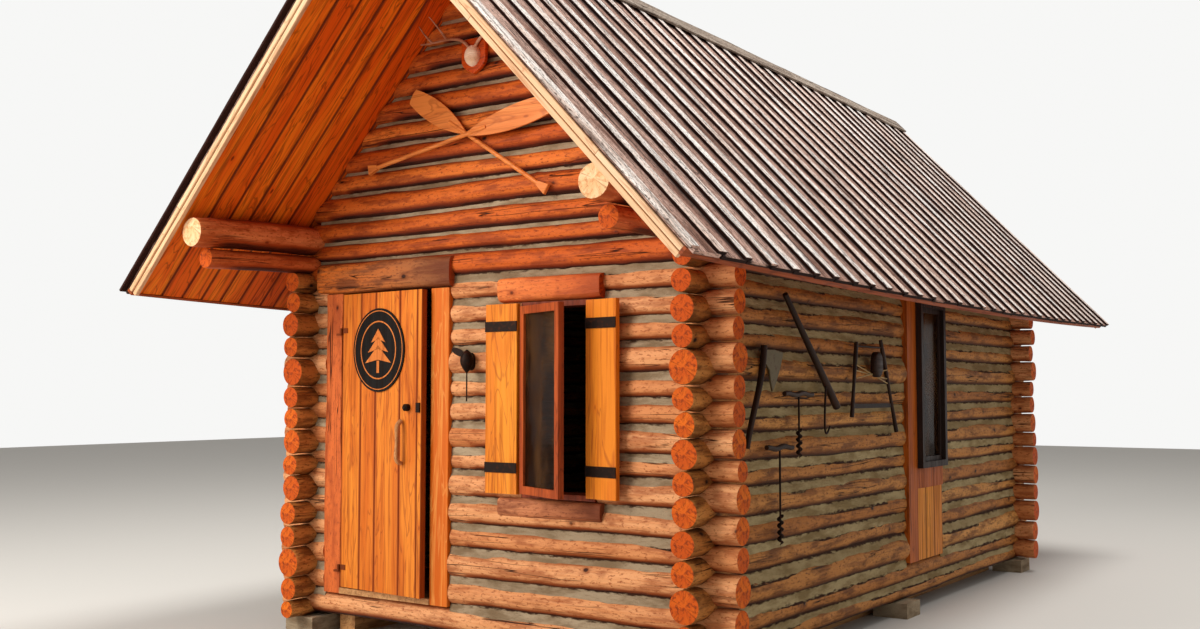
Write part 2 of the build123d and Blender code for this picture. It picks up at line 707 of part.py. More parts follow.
with BuildPart() as shutter_straps:
    for plane, width in zip((left_shutter_plane, right_shutter_plane), SHUTTER_WIDTHS):
        with BuildSketch(plane.offset(SHUTTER_THICKNESS + SEAT)):
            for height in SHUTTER_STRAP_HEIGHTS:
                low = BASE_HEIGHT + height - SHUTTER_STRAP_HEIGHT / 2
                rectangle_between(0, width, low, low + SHUTTER_STRAP_HEIGHT)
        extrude(amount=SHUTTER_STRAP_THICKNESS)
write(shutter_straps, "shutter_straps")

# Closed doorway of the right wall: a post, a boarded panel and a tall window over it
side_post_front = SIDE_OPENING_FRONT + SIDE_POST_INSET
side_post_back = side_post_front + SIDE_POST_WIDTH
with BuildPart() as side_post:
    with BuildSketch(Plane.YZ.offset(half_width + SIDE_POST_FACE)):
        rectangle_between(side_post_front, side_post_back, side_opening_bottom, side_opening_top)
    extrude(amount=-SIDE_POST_DEPTH)
write(side_post, "side_post")

side_panel_top = BASE_HEIGHT + SIDE_PANEL_TOP
side_rail_top = side_panel_top + SIDE_RAIL_HEIGHT
with BuildPart() as side_panel:
    with BuildSketch(Plane.YZ.offset(half_width + SIDE_PANEL_FACE)):
        rectangle_between(side_post_back + SEAT, side_opening_back, side_opening_bottom, side_panel_top)
    extrude(amount=-SIDE_PANEL_THICKNESS)
    with BuildSketch(Plane.YZ.offset(half_width + SIDE_RAIL_FACE)):
        rectangle_between(side_post_back + SEAT, side_opening_back, side_panel_top + SEAT, side_rail_top)
    extrude(amount=-SIDE_PANEL_THICKNESS)
write(side_panel, "side_panel")

side_window = (side_post_back + SEAT, side_opening_back, side_rail_top + SEAT, side_opening_top)
with BuildPart() as side_window_frame:
    with BuildSketch(Plane.YZ.offset(half_width + SIDE_WINDOW_FACE)):
        ring(*side_window, SIDE_FRAME_THICKNESS)
    extrude(amount=-SIDE_WINDOW_DEPTH)
write(side_window_frame, "side_window_frame")

side_sash_edge = SIDE_FRAME_THICKNESS + SEAT
side_sash = (
    side_window[0] + side_sash_edge,
    side_window[1] - side_sash_edge,
    side_window[2] + side_sash_edge,
    side_window[3] - side_sash_edge,
)
side_sash_face = half_width + SIDE_WINDOW_FACE - SIDE_SASH_RECESS
with BuildPart() as side_window_sash:
    with BuildSketch(Plane.YZ.offset(side_sash_face)):
        ring(*side_sash, SIDE_STILE)
    extrude(amount=-SIDE_SASH_THICKNESS)
write(side_window_sash, "side_window_sash")

# Panes of both windows, each held between the stiles of its sash
with BuildPart() as window_panes:
    with BuildSketch(sash_plane.offset((SASH_THICKNESS - PANE_THICKNESS) / 2)):
        rectangle_between(0, sash_width, 0, sash_height, -SASH_STILE - SEAT)
    extrude(amount=PANE_THICKNESS)
    with BuildSketch(Plane.YZ.offset(side_sash_face - SIDE_SASH_THICKNESS / 2)):
        rectangle_between(*side_sash, -SIDE_STILE - SEAT)
    extrude(amount=PANE_THICKNESS)
write(window_panes, "window_panes")

# Roof: layers on both slopes, each placed down the slope and out from the soffit
pitch_run = cos(radians(ROOF_PITCH))
pitch_fall = sin(radians(ROOF_PITCH))
strapping_bottom = SOFFIT_THICKNESS + SEAT
board_bottom = strapping_bottom + STRAPPING_THICKNESS + SEAT
batten_bottom = board_bottom + ROOF_BOARD_THICKNESS
cap_bottom = batten_bottom + BATTEN_THICKNESS + SEAT
eave_down = (half_width + EAVE_OVERHANG - batten_bottom * pitch_fall) / pitch_run
eave_board_down = eave_down - ROOF_BOARD_LAP - EAVE_BOARD_THICKNESS
soffit_down = eave_board_down - SEAT
rake_front = roof_front + ROOF_BOARD_LAP
rake_back = roof_back - ROOF_BOARD_LAP
soffit_front = rake_front + RAKE_THICKNESS + SEAT
soffit_back = rake_back - RAKE_THICKNESS - SEAT


def slope_plane(side, down):
    """Plane square to a slope, this far down it from the ridge, its Y pointing out of the roof."""
    start = (side * down * pitch_run, 0, ridge_soffit - down * pitch_fall)
    return Plane(origin=start, x_dir=(0, side, 0), z_dir=(side * pitch_run, 0, -pitch_fall))


def slope_rectangle(side, front, back, bottom, top):
    """A rectangle on a slope plane, between two places along the cabin and two heights out."""
    left, right = sorted((side * front, side * back))
    rectangle_between(left, right, bottom, top)


def layer_start(bottom):
    """Where a layer starts so that the undersides of both slopes meet at the ridge."""
    return RIDGE_GAP - bottom * slope


def slope_face(side, out):
    """Plane along a slope at a height out of the soffit, its X down the slope from the ridge."""
    return Plane(
        origin=(side * out * pitch_fall, 0, ridge_soffit + out * pitch_run),
        x_dir=(side * pitch_run, 0, -pitch_fall),
        z_dir=(side * pitch_fall, 0, pitch_run),
    )


def eave_curve(side, down):
    """Points of the eave line for an arc: the corners, and the middle that the bow carries out."""
    middle = (roof_front + roof_back) / 2
    return (down, side * roof_front), (down + EAVE_BOW, side * middle), (down, side * roof_back)


def bowed_sheet(side, start, down, mode=Mode.ADD):
    """A sheet of roof from a straight line near the ridge to the bowed eave line."""
    front, middle, back = eave_curve(side, down)
    with BuildLine(Plane.XY) as outline:
        ThreePointArc(front, middle, back)
        Polyline(back, (start, back[1]), (start, front[1]), front)
    make_face(outline.edges(), mode=mode)


def along_cabin(side, front, back, start, down, mode=Mode.ADD):
    """A rectangle in a slope's own plane, between two places along the cabin."""
    with Locations(((start + down) / 2, side * (front + back) / 2)):
        Rectangle(down - start, back - front, mode=mode)


with BuildPart() as soffit_boards:
    for side in (-1, 1):
        with BuildSketch(slope_face(side, 0)):
            bowed_sheet(side, layer_start(0), soffit_down)
            along_cabin(side, soffit_front, soffit_back, layer_start(0), soffit_down + EAVE_BOW, Mode.INTERSECT)
        extrude(amount=SOFFIT_THICKNESS)
write(soffit_boards, "soffit_boards")

strap_step = (soffit_down - STRAP_WIDTH) / (STRAP_COUNT - 1)
with BuildPart() as roof_strapping:
    for side in (-1, 1):
        for number in range(STRAP_COUNT):
            with BuildSketch(slope_plane(side, number * strap_step)):
                slope_rectangle(side, soffit_front, soffit_back, strapping_bottom, board_bottom - SEAT)
            extrude(amount=STRAP_WIDTH)
write(roof_strapping, "roof_strapping")

rake_top = board_bottom - SEAT
with BuildPart() as rake_boards:
    for side in (-1, 1):
        for end, inward in ((rake_front, 1), (rake_back, -1)):
            for number, recess in enumerate(RAKE_RECESSES):
                high = rake_top - number * (RAKE_STRIP + SEAT)
                low = high - RAKE_STRIP
                with BuildSketch(slope_plane(side, layer_start(low))):
                    inner = end + inward * RAKE_THICKNESS
                    slope_rectangle(side, end + inward * recess, inner, low, high)
                extrude(amount=soffit_down - layer_start(low))
write(rake_boards, "rake_boards")

with BuildPart() as eave_boards:
    for side in (-1, 1):
        with BuildSketch(slope_face(side, rake_top - EAVE_BOARD_HEIGHT)):
            bowed_sheet(side, 0, eave_board_down + EAVE_BOARD_THICKNESS)
            bowed_sheet(side, 0, eave_board_down, Mode.SUBTRACT)
            along_cabin(side, rake_front, rake_back, soffit_down, eave_down + EAVE_BOW, Mode.INTERSECT)
        extrude(amount=EAVE_BOARD_HEIGHT)
write(eave_boards, "eave_boards")

batten_span = roof_back - roof_front - BATTEN_WIDTH
batten_gaps = round(batten_span / BATTEN_SPACING)
batten_top = batten_bottom + BATTEN_THICKNESS
with BuildPart() as roof_boards:
    for side in (-1, 1):
        with BuildSketch(slope_face(side, board_bottom)):
            bowed_sheet(side, layer_start(board_bottom), eave_down)
        extrude(amount=ROOF_BOARD_THICKNESS)
        with BuildSketch(slope_face(side, batten_bottom)):
            for number in range(batten_gaps + 1):
                front = roof_front + number * batten_span / batten_gaps
                along_cabin(side, front, front + BATTEN_WIDTH, layer_start(board_bottom), eave_down + EAVE_BOW)
            bowed_sheet(side, layer_start(board_bottom), eave_down, Mode.INTERSECT)
        extrude(amount=BATTEN_THICKNESS)
write(roof_boards, "roof_boards")

with BuildPart() as ridge_cap:
    for side, lap in ((-1, RIDGE_CAP_THICKNESS), (1, 0)):
        with BuildSketch(slope_plane(side, layer_start(cap_bottom) - lap)):
            slope_rectangle(side, roof_front, roof_back, cap_bottom, cap_bottom + RIDGE_CAP_THICKNESS)
        extrude(amount=RIDGE_CAP_WIDTH + lap)
write(ridge_cap, "ridge_cap")

# Door furniture: a bent pull, a round knob, an edge latch and an oval plate
leaf_face = HINGE_STANDOFF - SEAT


def leaf_face_plane(along, height):
    """Plane on the outer face of the leaf, its X along the leaf and its normal outward."""
    start = door_plane(0).from_local_coords((along, leaf_face, 0))
    swing = radians(DOOR_AJAR)
    return Plane(
        origin=(start.X, start.Y, BASE_HEIGHT + height),
        x_dir=(cos(swing), -sin(swing), 0),
        z_dir=(-sin(swing), -cos(swing), 0),
    )


with BuildPart() as door_pull:
    for offset in (-PULL_LENGTH / 2, PULL_LENGTH / 2):
        with BuildSketch(leaf_face_plane(PULL_ALONG, PULL_HEIGHT + offset)):
            Circle(PULL_POST_DIAMETER / 2)
        extrude(amount=PULL_STANDOFF)
    grip_plane = leaf_face_plane(PULL_ALONG, PULL_HEIGHT).offset(PULL_STANDOFF)
    with BuildSketch(Plane(grip_plane.origin, x_dir=grip_plane.x_dir, z_dir=(0, 0, 1))):
        Circle(PULL_DIAMETER / 2)
    extrude(amount=PULL_LENGTH / 2 + PULL_DIAMETER / 2, both=True)
write(door_pull, "door_pull")

with BuildPart() as door_latch:
    with BuildSketch(leaf_face_plane(KNOB_ALONG, KNOB_HEIGHT)):
        Circle(KNOB_DIAMETER / 2)
    extrude(amount=KNOB_LENGTH)
    chamfer(door_latch.faces().sort_by(Axis.Y)[0].edges(), length=KNOB_ROUNDING)
    with BuildSketch(leaf_face_plane(LATCH_ALONG, KNOB_HEIGHT)):
        Rectangle(LATCH_WIDTH, LATCH_HEIGHT)
    extrude(amount=LATCH_THICKNESS)
write(door_latch, "door_latch")

with BuildPart() as door_sign:
    with BuildSketch(leaf_face_plane(SIGN_ALONG, SIGN_HEIGHT)):
        Ellipse(SIGN_WIDTH / 2, SIGN_TALL / 2)
    extrude(amount=SIGN_THICKNESS)
write(door_sign, "door_sign")


def gable_face_plane(start, end, standoff):
    """Plane in front of the gable whose X runs between two places, its normal out of the wall."""
    run, rise = end[0] - start[0], end[1] - start[1]
    length = hypot(run, rise)
    return Plane(
        origin=(start[0], -half_length - standoff, BASE_HEIGHT + start[1]),
        x_dir=(run / length, 0, rise / length),
        z_dir=(0, -1, 0),
    )


def paddle(grip_end, blade_end, blade_length, standoff):
    """A paddle: a round shaft, a flared grip and a blade that is widest near its end."""
    length = hypot(blade_end[0] - grip_end[0], blade_end[1] - grip_end[1])
    neck = length - blade_length
    plane = gable_face_plane(grip_end, blade_end, standoff)
    shaft_radius = PADDLE_SHAFT_DIAMETER / 2
    shaft_plane = Plane(plane.origin, x_dir=plane.z_dir, z_dir=plane.x_dir)
    with BuildPart() as piece:
        with BuildSketch(plane):
            with BuildLine():
                for side in (-1, 1):
                    Spline(
                        (neck, side * shaft_radius),
                        (length - PADDLE_WIDEST_FROM_END, side * PADDLE_BLADE_WIDTH / 2),
                        (length, side * PADDLE_END_WIDTH / 2),
                    )
                Line((neck, -shaft_radius), (neck, shaft_radius))
                ThreePointArc(
                    (length, -PADDLE_END_WIDTH / 2),
                    (length + PADDLE_END_BOW, 0),
                    (length, PADDLE_END_WIDTH / 2),
                )
            make_face()
        extrude(amount=PADDLE_BLADE_THICKNESS / 2, both=True)
        with BuildSketch(plane):
            Polygon(
                (0, -PADDLE_GRIP_WIDTH / 2),
                (0, PADDLE_GRIP_WIDTH / 2),
                (PADDLE_GRIP_LENGTH, shaft_radius),
                (PADDLE_GRIP_LENGTH, -shaft_radius),
                align=None,
            )
        extrude(amount=shaft_radius, both=True)
        grip_edges = piece.faces().filter_by(Plane(plane.origin, z_dir=plane.x_dir)).edges()
        fillet(grip_edges.filter_by(lambda edge: edge.length > PADDLE_GRIP_LONG_EDGE), radius=PADDLE_GRIP_ROUNDING)
        with BuildSketch(shaft_plane.offset(PADDLE_GRIP_ROUNDING)):
            Circle(shaft_radius)
        extrude(amount=neck + PADDLE_SHAFT_IN_BLADE - PADDLE_GRIP_ROUNDING)
    return piece.part


# Crossed paddles: the left blade lies on the gable logs and the right one over it
gable_log_face = max(size for z, size in end_sizes[plate_top_log:] if z < ridge_pole_height) / 2
left_standoff = gable_log_face + SEAT + PADDLE_SHAFT_DIAMETER / 2
right_standoff = left_standoff + PADDLE_SHAFT_DIAMETER + SEAT
with BuildPart() as crossed_paddles:
    add(paddle(LEFT_PADDLE_GRIP_END, LEFT_PADDLE_BLADE_END, LEFT_PADDLE_BLADE_LENGTH, left_standoff))
    add(paddle(RIGHT_PADDLE_GRIP_END, RIGHT_PADDLE_BLADE_END, RIGHT_PADDLE_BLADE_LENGTH, right_standoff))
write(crossed_paddles, "crossed_paddles")

# Gable plaque: a shield, a domed cap and two antlers, each a curved beam with upright tines
plaque_z = BASE_HEIGHT + PLAQUE_HEIGHT
plaque_logs = [size for z, size in end_sizes if abs(z - plaque_z) < PLAQUE_TALL / 2]
plaque_back = Plane(
    origin=(PLAQUE_X, -half_length - max(plaque_logs) / 2 - SEAT, plaque_z),
    x_dir=(1, 0, 0),
    z_dir=(0, -1, 0),
)


def antler_point(side, along, out, up):
    """A place on an antler: sideways from the plaque's middle, out of its back and up."""
    return plaque_back.from_local_coords((side * along, up, out))


with BuildPart() as gable_plaque:
    with BuildSketch(plaque_back):
        with BuildLine():
            top = PLAQUE_TALL / 2
            shoulder = PLAQUE_POINT - PLAQUE_TALL / 2
            Polyline(
                (-PLAQUE_WIDTH / 2, shoulder),
                (-PLAQUE_WIDTH / 2, top),
                (PLAQUE_WIDTH / 2, top),
                (PLAQUE_WIDTH / 2, shoulder),
            )
            for side in (-1, 1):
                Spline(
                    (side * PLAQUE_WIDTH / 2, shoulder),
                    (side * PLAQUE_CHEEK[0], PLAQUE_CHEEK[1]),
                    (0, -PLAQUE_TALL / 2),
                )
        make_face()
    extrude(amount=PLAQUE_THICKNESS)
    cap_base = plaque_back.offset(PLAQUE_THICKNESS)
    with BuildSketch(cap_base):
        Ellipse(PLAQUE_CAP_WIDTH / 2, PLAQUE_CAP_TALL / 2)
    with BuildSketch(cap_base.offset(PLAQUE_CAP_DEPTH)):
        Ellipse(PLAQUE_CAP_FRONT * PLAQUE_CAP_WIDTH / 2, PLAQUE_CAP_FRONT * PLAQUE_CAP_TALL / 2)
    loft()
    for side in (-1, 1):
        with BuildLine() as beam_line:
            Spline(*[antler_point(side, *place) for place in ANTLER_BEAM])
        beam = beam_line.line
        with BuildSketch(Plane(beam @ 0, z_dir=beam % 0)):
            Circle(ANTLER_DIAMETER / 2)
        sweep(path=beam)
        for base, tip in ANTLER_TINES:
            foot = antler_point(side, *base)
            reach = antler_point(side, *tip) - foot
            with BuildSketch(Plane(foot, z_dir=reach)):
                Circle(ANTLER_DIAMETER / 2)
            extrude(amount=reach.length, taper=TINE_TAPER)
write(gable_plaque, "gable_plaque")

# Iron ornament: a plate on the log, a pear-shaped body, a leaf and a hanging rod
ornament_z = BASE_HEIGHT + ORNAMENT_HEIGHT
ornament_log = max(size for z, size in end_sizes if abs(z - ornament_z) < size / 2)
ornament_back = Plane(
    origin=(ORNAMENT_X, -half_length - ornament_log / 2 - SEAT, ornament_z),
    x_dir=(1, 0, 0),
    z_dir=(0, -1, 0),
)
ornament_out = ORNAMENT_PLATE_THICKNESS + ORNAMENT_BODY_WIDTH / 2
with BuildPart() as wall_ornament:
    with BuildSketch(ornament_back):
        Ellipse(ORNAMENT_PLATE_WIDTH / 2, ORNAMENT_PLATE_TALL / 2)
    extrude(amount=ORNAMENT_STEM)
    body_start = ornament_back.from_local_coords((0, 0, ornament_out))
    with BuildSketch(Plane(body_start, x_dir=(1, 0, 0), z_dir=(0, -1, 0))):
        with BuildLine():
            Spline(
                (0, ORNAMENT_BODY_TALL / 2),
                ORNAMENT_BODY_SHOULDER,
                (ORNAMENT_BODY_WIDTH / 2, 0),
                ORNAMENT_BODY_HIP,
                (0, -ORNAMENT_BODY_TALL / 2),
            )
            Line((0, -ORNAMENT_BODY_TALL / 2), (0, ORNAMENT_BODY_TALL / 2))
        make_face()
    revolve(axis=Axis(body_start, (0, 0, 1)))
    leaf_plane = Plane(body_start, x_dir=(1, 0, 0), z_dir=(0, -1, 0))
    with BuildSketch(leaf_plane):
        leaf_turn = radians(ORNAMENT_LEAF_TILT)
        leaf_out = (ORNAMENT_BODY_WIDTH + ORNAMENT_LEAF_LENGTH) / 2 - ORNAMENT_LEAF_LAP
        leaf_reach = leaf_out * cos(leaf_turn)
        leaf_rise = ORNAMENT_LEAF_RISE + ORNAMENT_LEAF_LENGTH / 2 * sin(leaf_turn)
        with Locations(Location((leaf_reach, leaf_rise, 0), (0, 0, ORNAMENT_LEAF_TILT))):
            Ellipse(ORNAMENT_LEAF_LENGTH / 2, ORNAMENT_LEAF_WIDTH / 2)
    extrude(amount=ORNAMENT_LEAF_THICKNESS / 2, both=True)
    with BuildSketch(Plane.XY.offset(BASE_HEIGHT + ORNAMENT_ROD_BOTTOM)):
        with Locations((body_start.X, body_start.Y)):
            Circle(ORNAMENT_ROD_DIAMETER / 2)
    extrude(amount=ORNAMENT_HEIGHT - ORNAMENT_ROD_BOTTOM)
write(wall_ornament, "wall_ornament")

# Hand tools hung on the right wall, each resting on the logs that stand out furthest behind it
side_sizes = list(zip(side_heights, side_diameters))


def wall_rest(low, high, radius):
    """X of a bar of this radius that rests on the right wall between two heights."""
    offsets = []
    for z, size in side_sizes:
        rise = max(0, BASE_HEIGHT + low - z, z - BASE_HEIGHT - high)
        touch = size / 2 + radius + SEAT
        if rise < touch:
            offsets.append(sqrt(touch**2 - rise**2))
    return half_width + max(offsets)


def side_place(x, place):
    """A place on the right wall, from its Y and its height."""
    return Vector(x, place[0], BASE_HEIGHT + place[1])


def side_face(x):
    """Plane parallel to the right wall, its X along +Y, its Y up and its normal outward."""
    return Plane(origin=(x, 0, BASE_HEIGHT), x_dir=(0, 1, 0), z_dir=(1, 0, 0))


def round_bar(start, end, diameter, taper=0):
    """A straight round bar between two places, narrower towards its end if it has a taper."""
    with BuildPart() as bar:
        with BuildSketch(Plane(start, z_dir=end - start)):
            Circle(diameter / 2)
        extrude(amount=(end - start).length, taper=taper)
    return bar.part


def bent_bar(x, places, diameter):
    """A round bar swept along a curve through places on the wall."""
    with BuildPart() as bar:
        with BuildLine():
            route = Spline(*[side_place(x, place) for place in places])
        with BuildSketch(Plane(route @ 0, z_dir=route % 0)):
            Circle(diameter / 2)
        sweep(path=route)
    return bar.part


axe_low = min(height for _, height in AXE_BLADE)
axe_high = max(height for _, height in AXE_BLADE)
axe_x = wall_rest(axe_low, axe_high, AXE_HANDLE_DIAMETER / 2)
with BuildPart() as broad_axe:
    with BuildSketch(side_face(axe_x)):
        Polygon(*AXE_BLADE, align=None)
    extrude(amount=AXE_THICKNESS / 2, both=True)
    add(bent_bar(axe_x, AXE_HANDLE, AXE_HANDLE_DIAMETER))

hook_run = HOOK_HANDLE_TOP[0] - HOOK_HANDLE_FOOT[0]
hook_rise = HOOK_HANDLE_TOP[1] - HOOK_HANDLE_FOOT[1]
hook_slope = tan(radians(HOOK_HANDLE_TAPER)) * hypot(hook_run, hook_rise) / hook_rise


def hook_radius(height):
    """Radius of the tapered handle at this height."""
    return HOOK_HANDLE_DIAMETER / 2 - (height - HOOK_HANDLE_FOOT[1]) * hook_slope


hook_rests = []
for z, size in side_sizes:
    height = z - BASE_HEIGHT
    if HOOK_HANDLE_FOOT[1] < height < HOOK_HANDLE_TOP[1]:
        hook_rests.append(size / 2 + hook_radius(height) + SEAT)
hook_x = half_width + max(hook_rests)
hook_share = HOOK_PIVOT_FROM_FOOT / hypot(hook_run, hook_rise)
hook_pivot = (HOOK_HANDLE_FOOT[0] + hook_share * hook_run, HOOK_HANDLE_FOOT[1] + hook_share * hook_rise)
hook_tip = (hook_pivot[0] + HOOK_BARB[0], hook_pivot[1] - HOOK_LENGTH + HOOK_BARB[1])
hook_bend = (hook_pivot[0] + HOOK_BEND, hook_pivot[1] - HOOK_LENGTH)
with BuildPart() as cant_hook:
    foot = side_place(hook_x, HOOK_HANDLE_FOOT)
    add(round_bar(foot, side_place(hook_x, HOOK_HANDLE_TOP), HOOK_HANDLE_DIAMETER, HOOK_HANDLE_TAPER))
    pivot_below = (hook_pivot[0], hook_pivot[1] - HOOK_LENGTH / 2)
    add(bent_bar(hook_x, [hook_pivot, pivot_below, hook_bend, hook_tip], HOOK_DIAMETER))


def auger(top, foot_height, handle_length):
    """A T auger: a cross handle, a shaft and a bit whose lobes stand for its spiral."""
    x = max(
        wall_rest(top[1], top[1], AUGER_HANDLE_DIAMETER / 2),
        wall_rest(foot_height, foot_height + AUGER_BIT_LENGTH, AUGER_BIT_DIAMETER / 2),
    )
    lobe = AUGER_BIT_LENGTH / AUGER_BIT_LOBES
    profile = [(0, 0)]
    for number in range(AUGER_BIT_LOBES):
        profile.append((AUGER_BIT_DIAMETER / 2, (number + 0.5) * lobe))
        profile.append((AUGER_SHAFT_DIAMETER / 2, (number + 1) * lobe))
    profile.append((0, AUGER_BIT_LENGTH))
    bit_start = side_place(x, (top[0], foot_height))
    with BuildPart() as tool:
        with BuildSketch(Plane(bit_start, x_dir=(1, 0, 0), z_dir=(0, -1, 0))):
            Polygon(*profile, align=None)
        revolve(axis=Axis(bit_start, (0, 0, 1)))
        shaft_start = side_place(x, (top[0], foot_height + AUGER_BIT_LENGTH - lobe / 2))
        add(round_bar(shaft_start, side_place(x, top), AUGER_SHAFT_DIAMETER))
        handle_front = side_place(x, (top[0] - handle_length / 2, top[1]))
        handle_back = side_place(x, (top[0] + handle_length / 2, top[1]))
        add(round_bar(handle_front, handle_back, AUGER_HANDLE_DIAMETER))
    return tool.part


post_heights = [height for post in SAW_POSTS for _, height in post]
saw_x = wall_rest(min(post_heights), max(post_heights), SAW_POST_WIDTH / 2)


def post_y(post, height):
    """Y of a saw post's middle at this height."""
    (top_y, top), (foot_y, foot) = post
    return foot_y + (top_y - foot_y) * (height - foot) / (top - foot)


def across(left_height, right_height):
    """Places at two heights on the two posts of the saw."""
    left = side_place(saw_x, (post_y(SAW_POSTS[0], left_height), left_height))
    right = side_place(saw_x, (post_y(SAW_POSTS[1], right_height), right_height))
    return left, right


with BuildPart() as frame_saw:
    for top, foot in SAW_POSTS:
        turn = degrees(atan2(top[1] - foot[1], top[0] - foot[0]))
        with BuildSketch(side_face(saw_x)):
            middle = ((top[0] + foot[0]) / 2, (top[1] + foot[1]) / 2, 0)
            with Locations(Location(middle, (0, 0, turn))):
                Rectangle(hypot(top[0] - foot[0], top[1] - foot[1]), SAW_POST_WIDTH)
        extrude(amount=SAW_POST_WIDTH / 2, both=True)
    add(round_bar(*across(SAW_TOP_HEIGHT, SAW_TOP_HEIGHT), SAW_TOP_DIAMETER))
    for heights in SAW_CORD_HEIGHTS:
        add(round_bar(*across(*heights), SAW_CORD_DIAMETER))
    with BuildSketch(side_face(saw_x)):
        blade_ends = [post_y(post, SAW_BLADE_HEIGHT) for post in SAW_POSTS]
        blade_low = SAW_BLADE_HEIGHT - SAW_BLADE_TALL / 2
        rectangle_between(*blade_ends, blade_low, blade_low + SAW_BLADE_TALL)
    extrude(amount=SAW_BLADE_THICKNESS / 2, both=True)

with BuildPart() as pulley_block:
    with BuildSketch(side_face(saw_x + SAW_CORD_DIAMETER / 2 + SEAT)):
        with Locations(PULLEY_CENTRE):
            Ellipse(PULLEY_WIDTH / 2, PULLEY_TALL / 2)
    extrude(amount=PULLEY_THICKNESS)
    fillet(pulley_block.faces().sort_by(Axis.X)[-1].edges(), radius=PULLEY_ROUNDING)

with BuildPart() as hand_tools:
    add(broad_axe.part)
    add(cant_hook.part)
    for top, foot_height, handle_length in zip(AUGER_TOPS, AUGER_FEET, AUGER_HANDLE_LENGTHS):
        add(auger(top, foot_height, handle_length))
    add(frame_saw.part)
    add(pulley_block.part)
write(hand_tools, "hand_tools")
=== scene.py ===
"""Looks of the log cabin: peeled logs, mortar, weathered roof, oiled boards, ironwork and tools.

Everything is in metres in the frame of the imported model: +X to the right of the front wall,
+Y to the back, +Z up, the origin on the ground under the middle of the walls.
"""

import bpy
import numpy as np
from mathutils import Euler, Matrix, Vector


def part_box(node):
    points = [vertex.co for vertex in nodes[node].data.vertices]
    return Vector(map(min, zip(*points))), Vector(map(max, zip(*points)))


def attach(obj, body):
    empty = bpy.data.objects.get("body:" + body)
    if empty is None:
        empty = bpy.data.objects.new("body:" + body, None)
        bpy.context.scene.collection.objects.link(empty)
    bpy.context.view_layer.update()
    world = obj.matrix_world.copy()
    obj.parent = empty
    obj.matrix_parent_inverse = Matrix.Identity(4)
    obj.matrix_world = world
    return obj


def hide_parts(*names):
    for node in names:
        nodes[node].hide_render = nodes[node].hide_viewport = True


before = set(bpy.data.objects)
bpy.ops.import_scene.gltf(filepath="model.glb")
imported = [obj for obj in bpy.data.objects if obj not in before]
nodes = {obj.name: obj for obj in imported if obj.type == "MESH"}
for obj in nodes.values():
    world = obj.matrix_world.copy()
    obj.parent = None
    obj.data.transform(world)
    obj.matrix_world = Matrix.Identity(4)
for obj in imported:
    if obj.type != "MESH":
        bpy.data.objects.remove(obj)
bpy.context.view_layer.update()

# Walls, the same driving sizes as the construction
WALL_WIDTH = 3.100
WALL_LENGTH = 5.600
BASE_HEIGHT = 0.110
LOG_GAP = 0.007
CORNER_END = 0.245
SIDE_DIAMETERS = [115, 145, 190, 145, 155, 165, 135, 165, 135, 140, 190, 135, 155, 135, 130]
PLATE_DIAMETERS = [125, 190]
FRONT_DIAMETERS = [160, 165, 180, 140, 160, 165, 120, 165, 145, 135, 175, 135, 145, 140, 165, 120]
GABLE_DIAMETERS = [145, 165, 135, 150, 140, 155, 135, 150, 140, 150, 130]
MILLIMETRE = 0.001
FRONT_FIRST_HEIGHT = 0.095
FULL_LOGS_IN_GABLE = 2
RIDGE_POLE_DIAMETER = 0.170
PLATE_LOG_REACH = [0.960, 1.080]
PLATE_DROOP = (0.040, 0.012)
RIDGE_POLE_SETBACK = 0.090

# Roof
ROOF_PITCH = np.radians(46.3)
EAVE_OVERHANG = 0.600
EAVE_BOW = 0.075
FRONT_OVERHANG = 1.160
BACK_OVERHANG = 1.330
SOFFIT_THICKNESS = 0.022
BOARD_BOTTOM = 0.0428
BOARD_THICKNESS = 0.022
BATTEN_THICKNESS = 0.020
CAP_BOTTOM = 0.0852
BATTEN_SPACING = 0.250
BATTEN_WIDTH = 0.084
SOFFIT_BOARD_WIDTH = 0.168
WIDEST_SOFFIT_BOARD = 0.22
RIDGE_CAP_WIDTH = 0.150
RIDGE_CAP_THICKNESS = 0.022
CAP_GAP = 0.002
CAP_BOARDS = 3
BOARD_LAP = 0.034
EAVE_BOARD_THICKNESS = 0.018
EAVE_BOARD_HEIGHT = 0.046
RAKE_TOP = 0.0424
RAKE_STRIP = 0.038
RAKE_THICKNESS = 0.038
RAKE_RECESSES = (0.0, 0.008)
RAKE_JOINTS = (2.30, 1.15)
SEAT = 0.0004

# Openings of the front wall and of the right wall: low edge, high edge, bottom and top
DOORWAY = (-1.373, -0.257, 0.286, 2.293)
WINDOW = (0.330, 0.870, 0.995, 2.172)
SIDE_DOORWAY = (0.039, 0.755, 0.377, 2.313)
DOOR_MIDDLE = -0.815
JAMB_WIDTH = 0.155

X_AXIS = np.array([1.0, 0.0, 0.0])
Y_AXIS = np.array([0.0, 1.0, 0.0])
Z_AXIS = np.array([0.0, 0.0, 1.0])


def stack(first, diameters):
    """Heights of log centres: each lies half of both diameters and the gap above the last."""
    heights = [first]
    for lower, upper in zip(diameters, diameters[1:]):
        heights.append(heights[-1] + (lower + upper) / 2 * MILLIMETRE + LOG_GAP)
    return heights


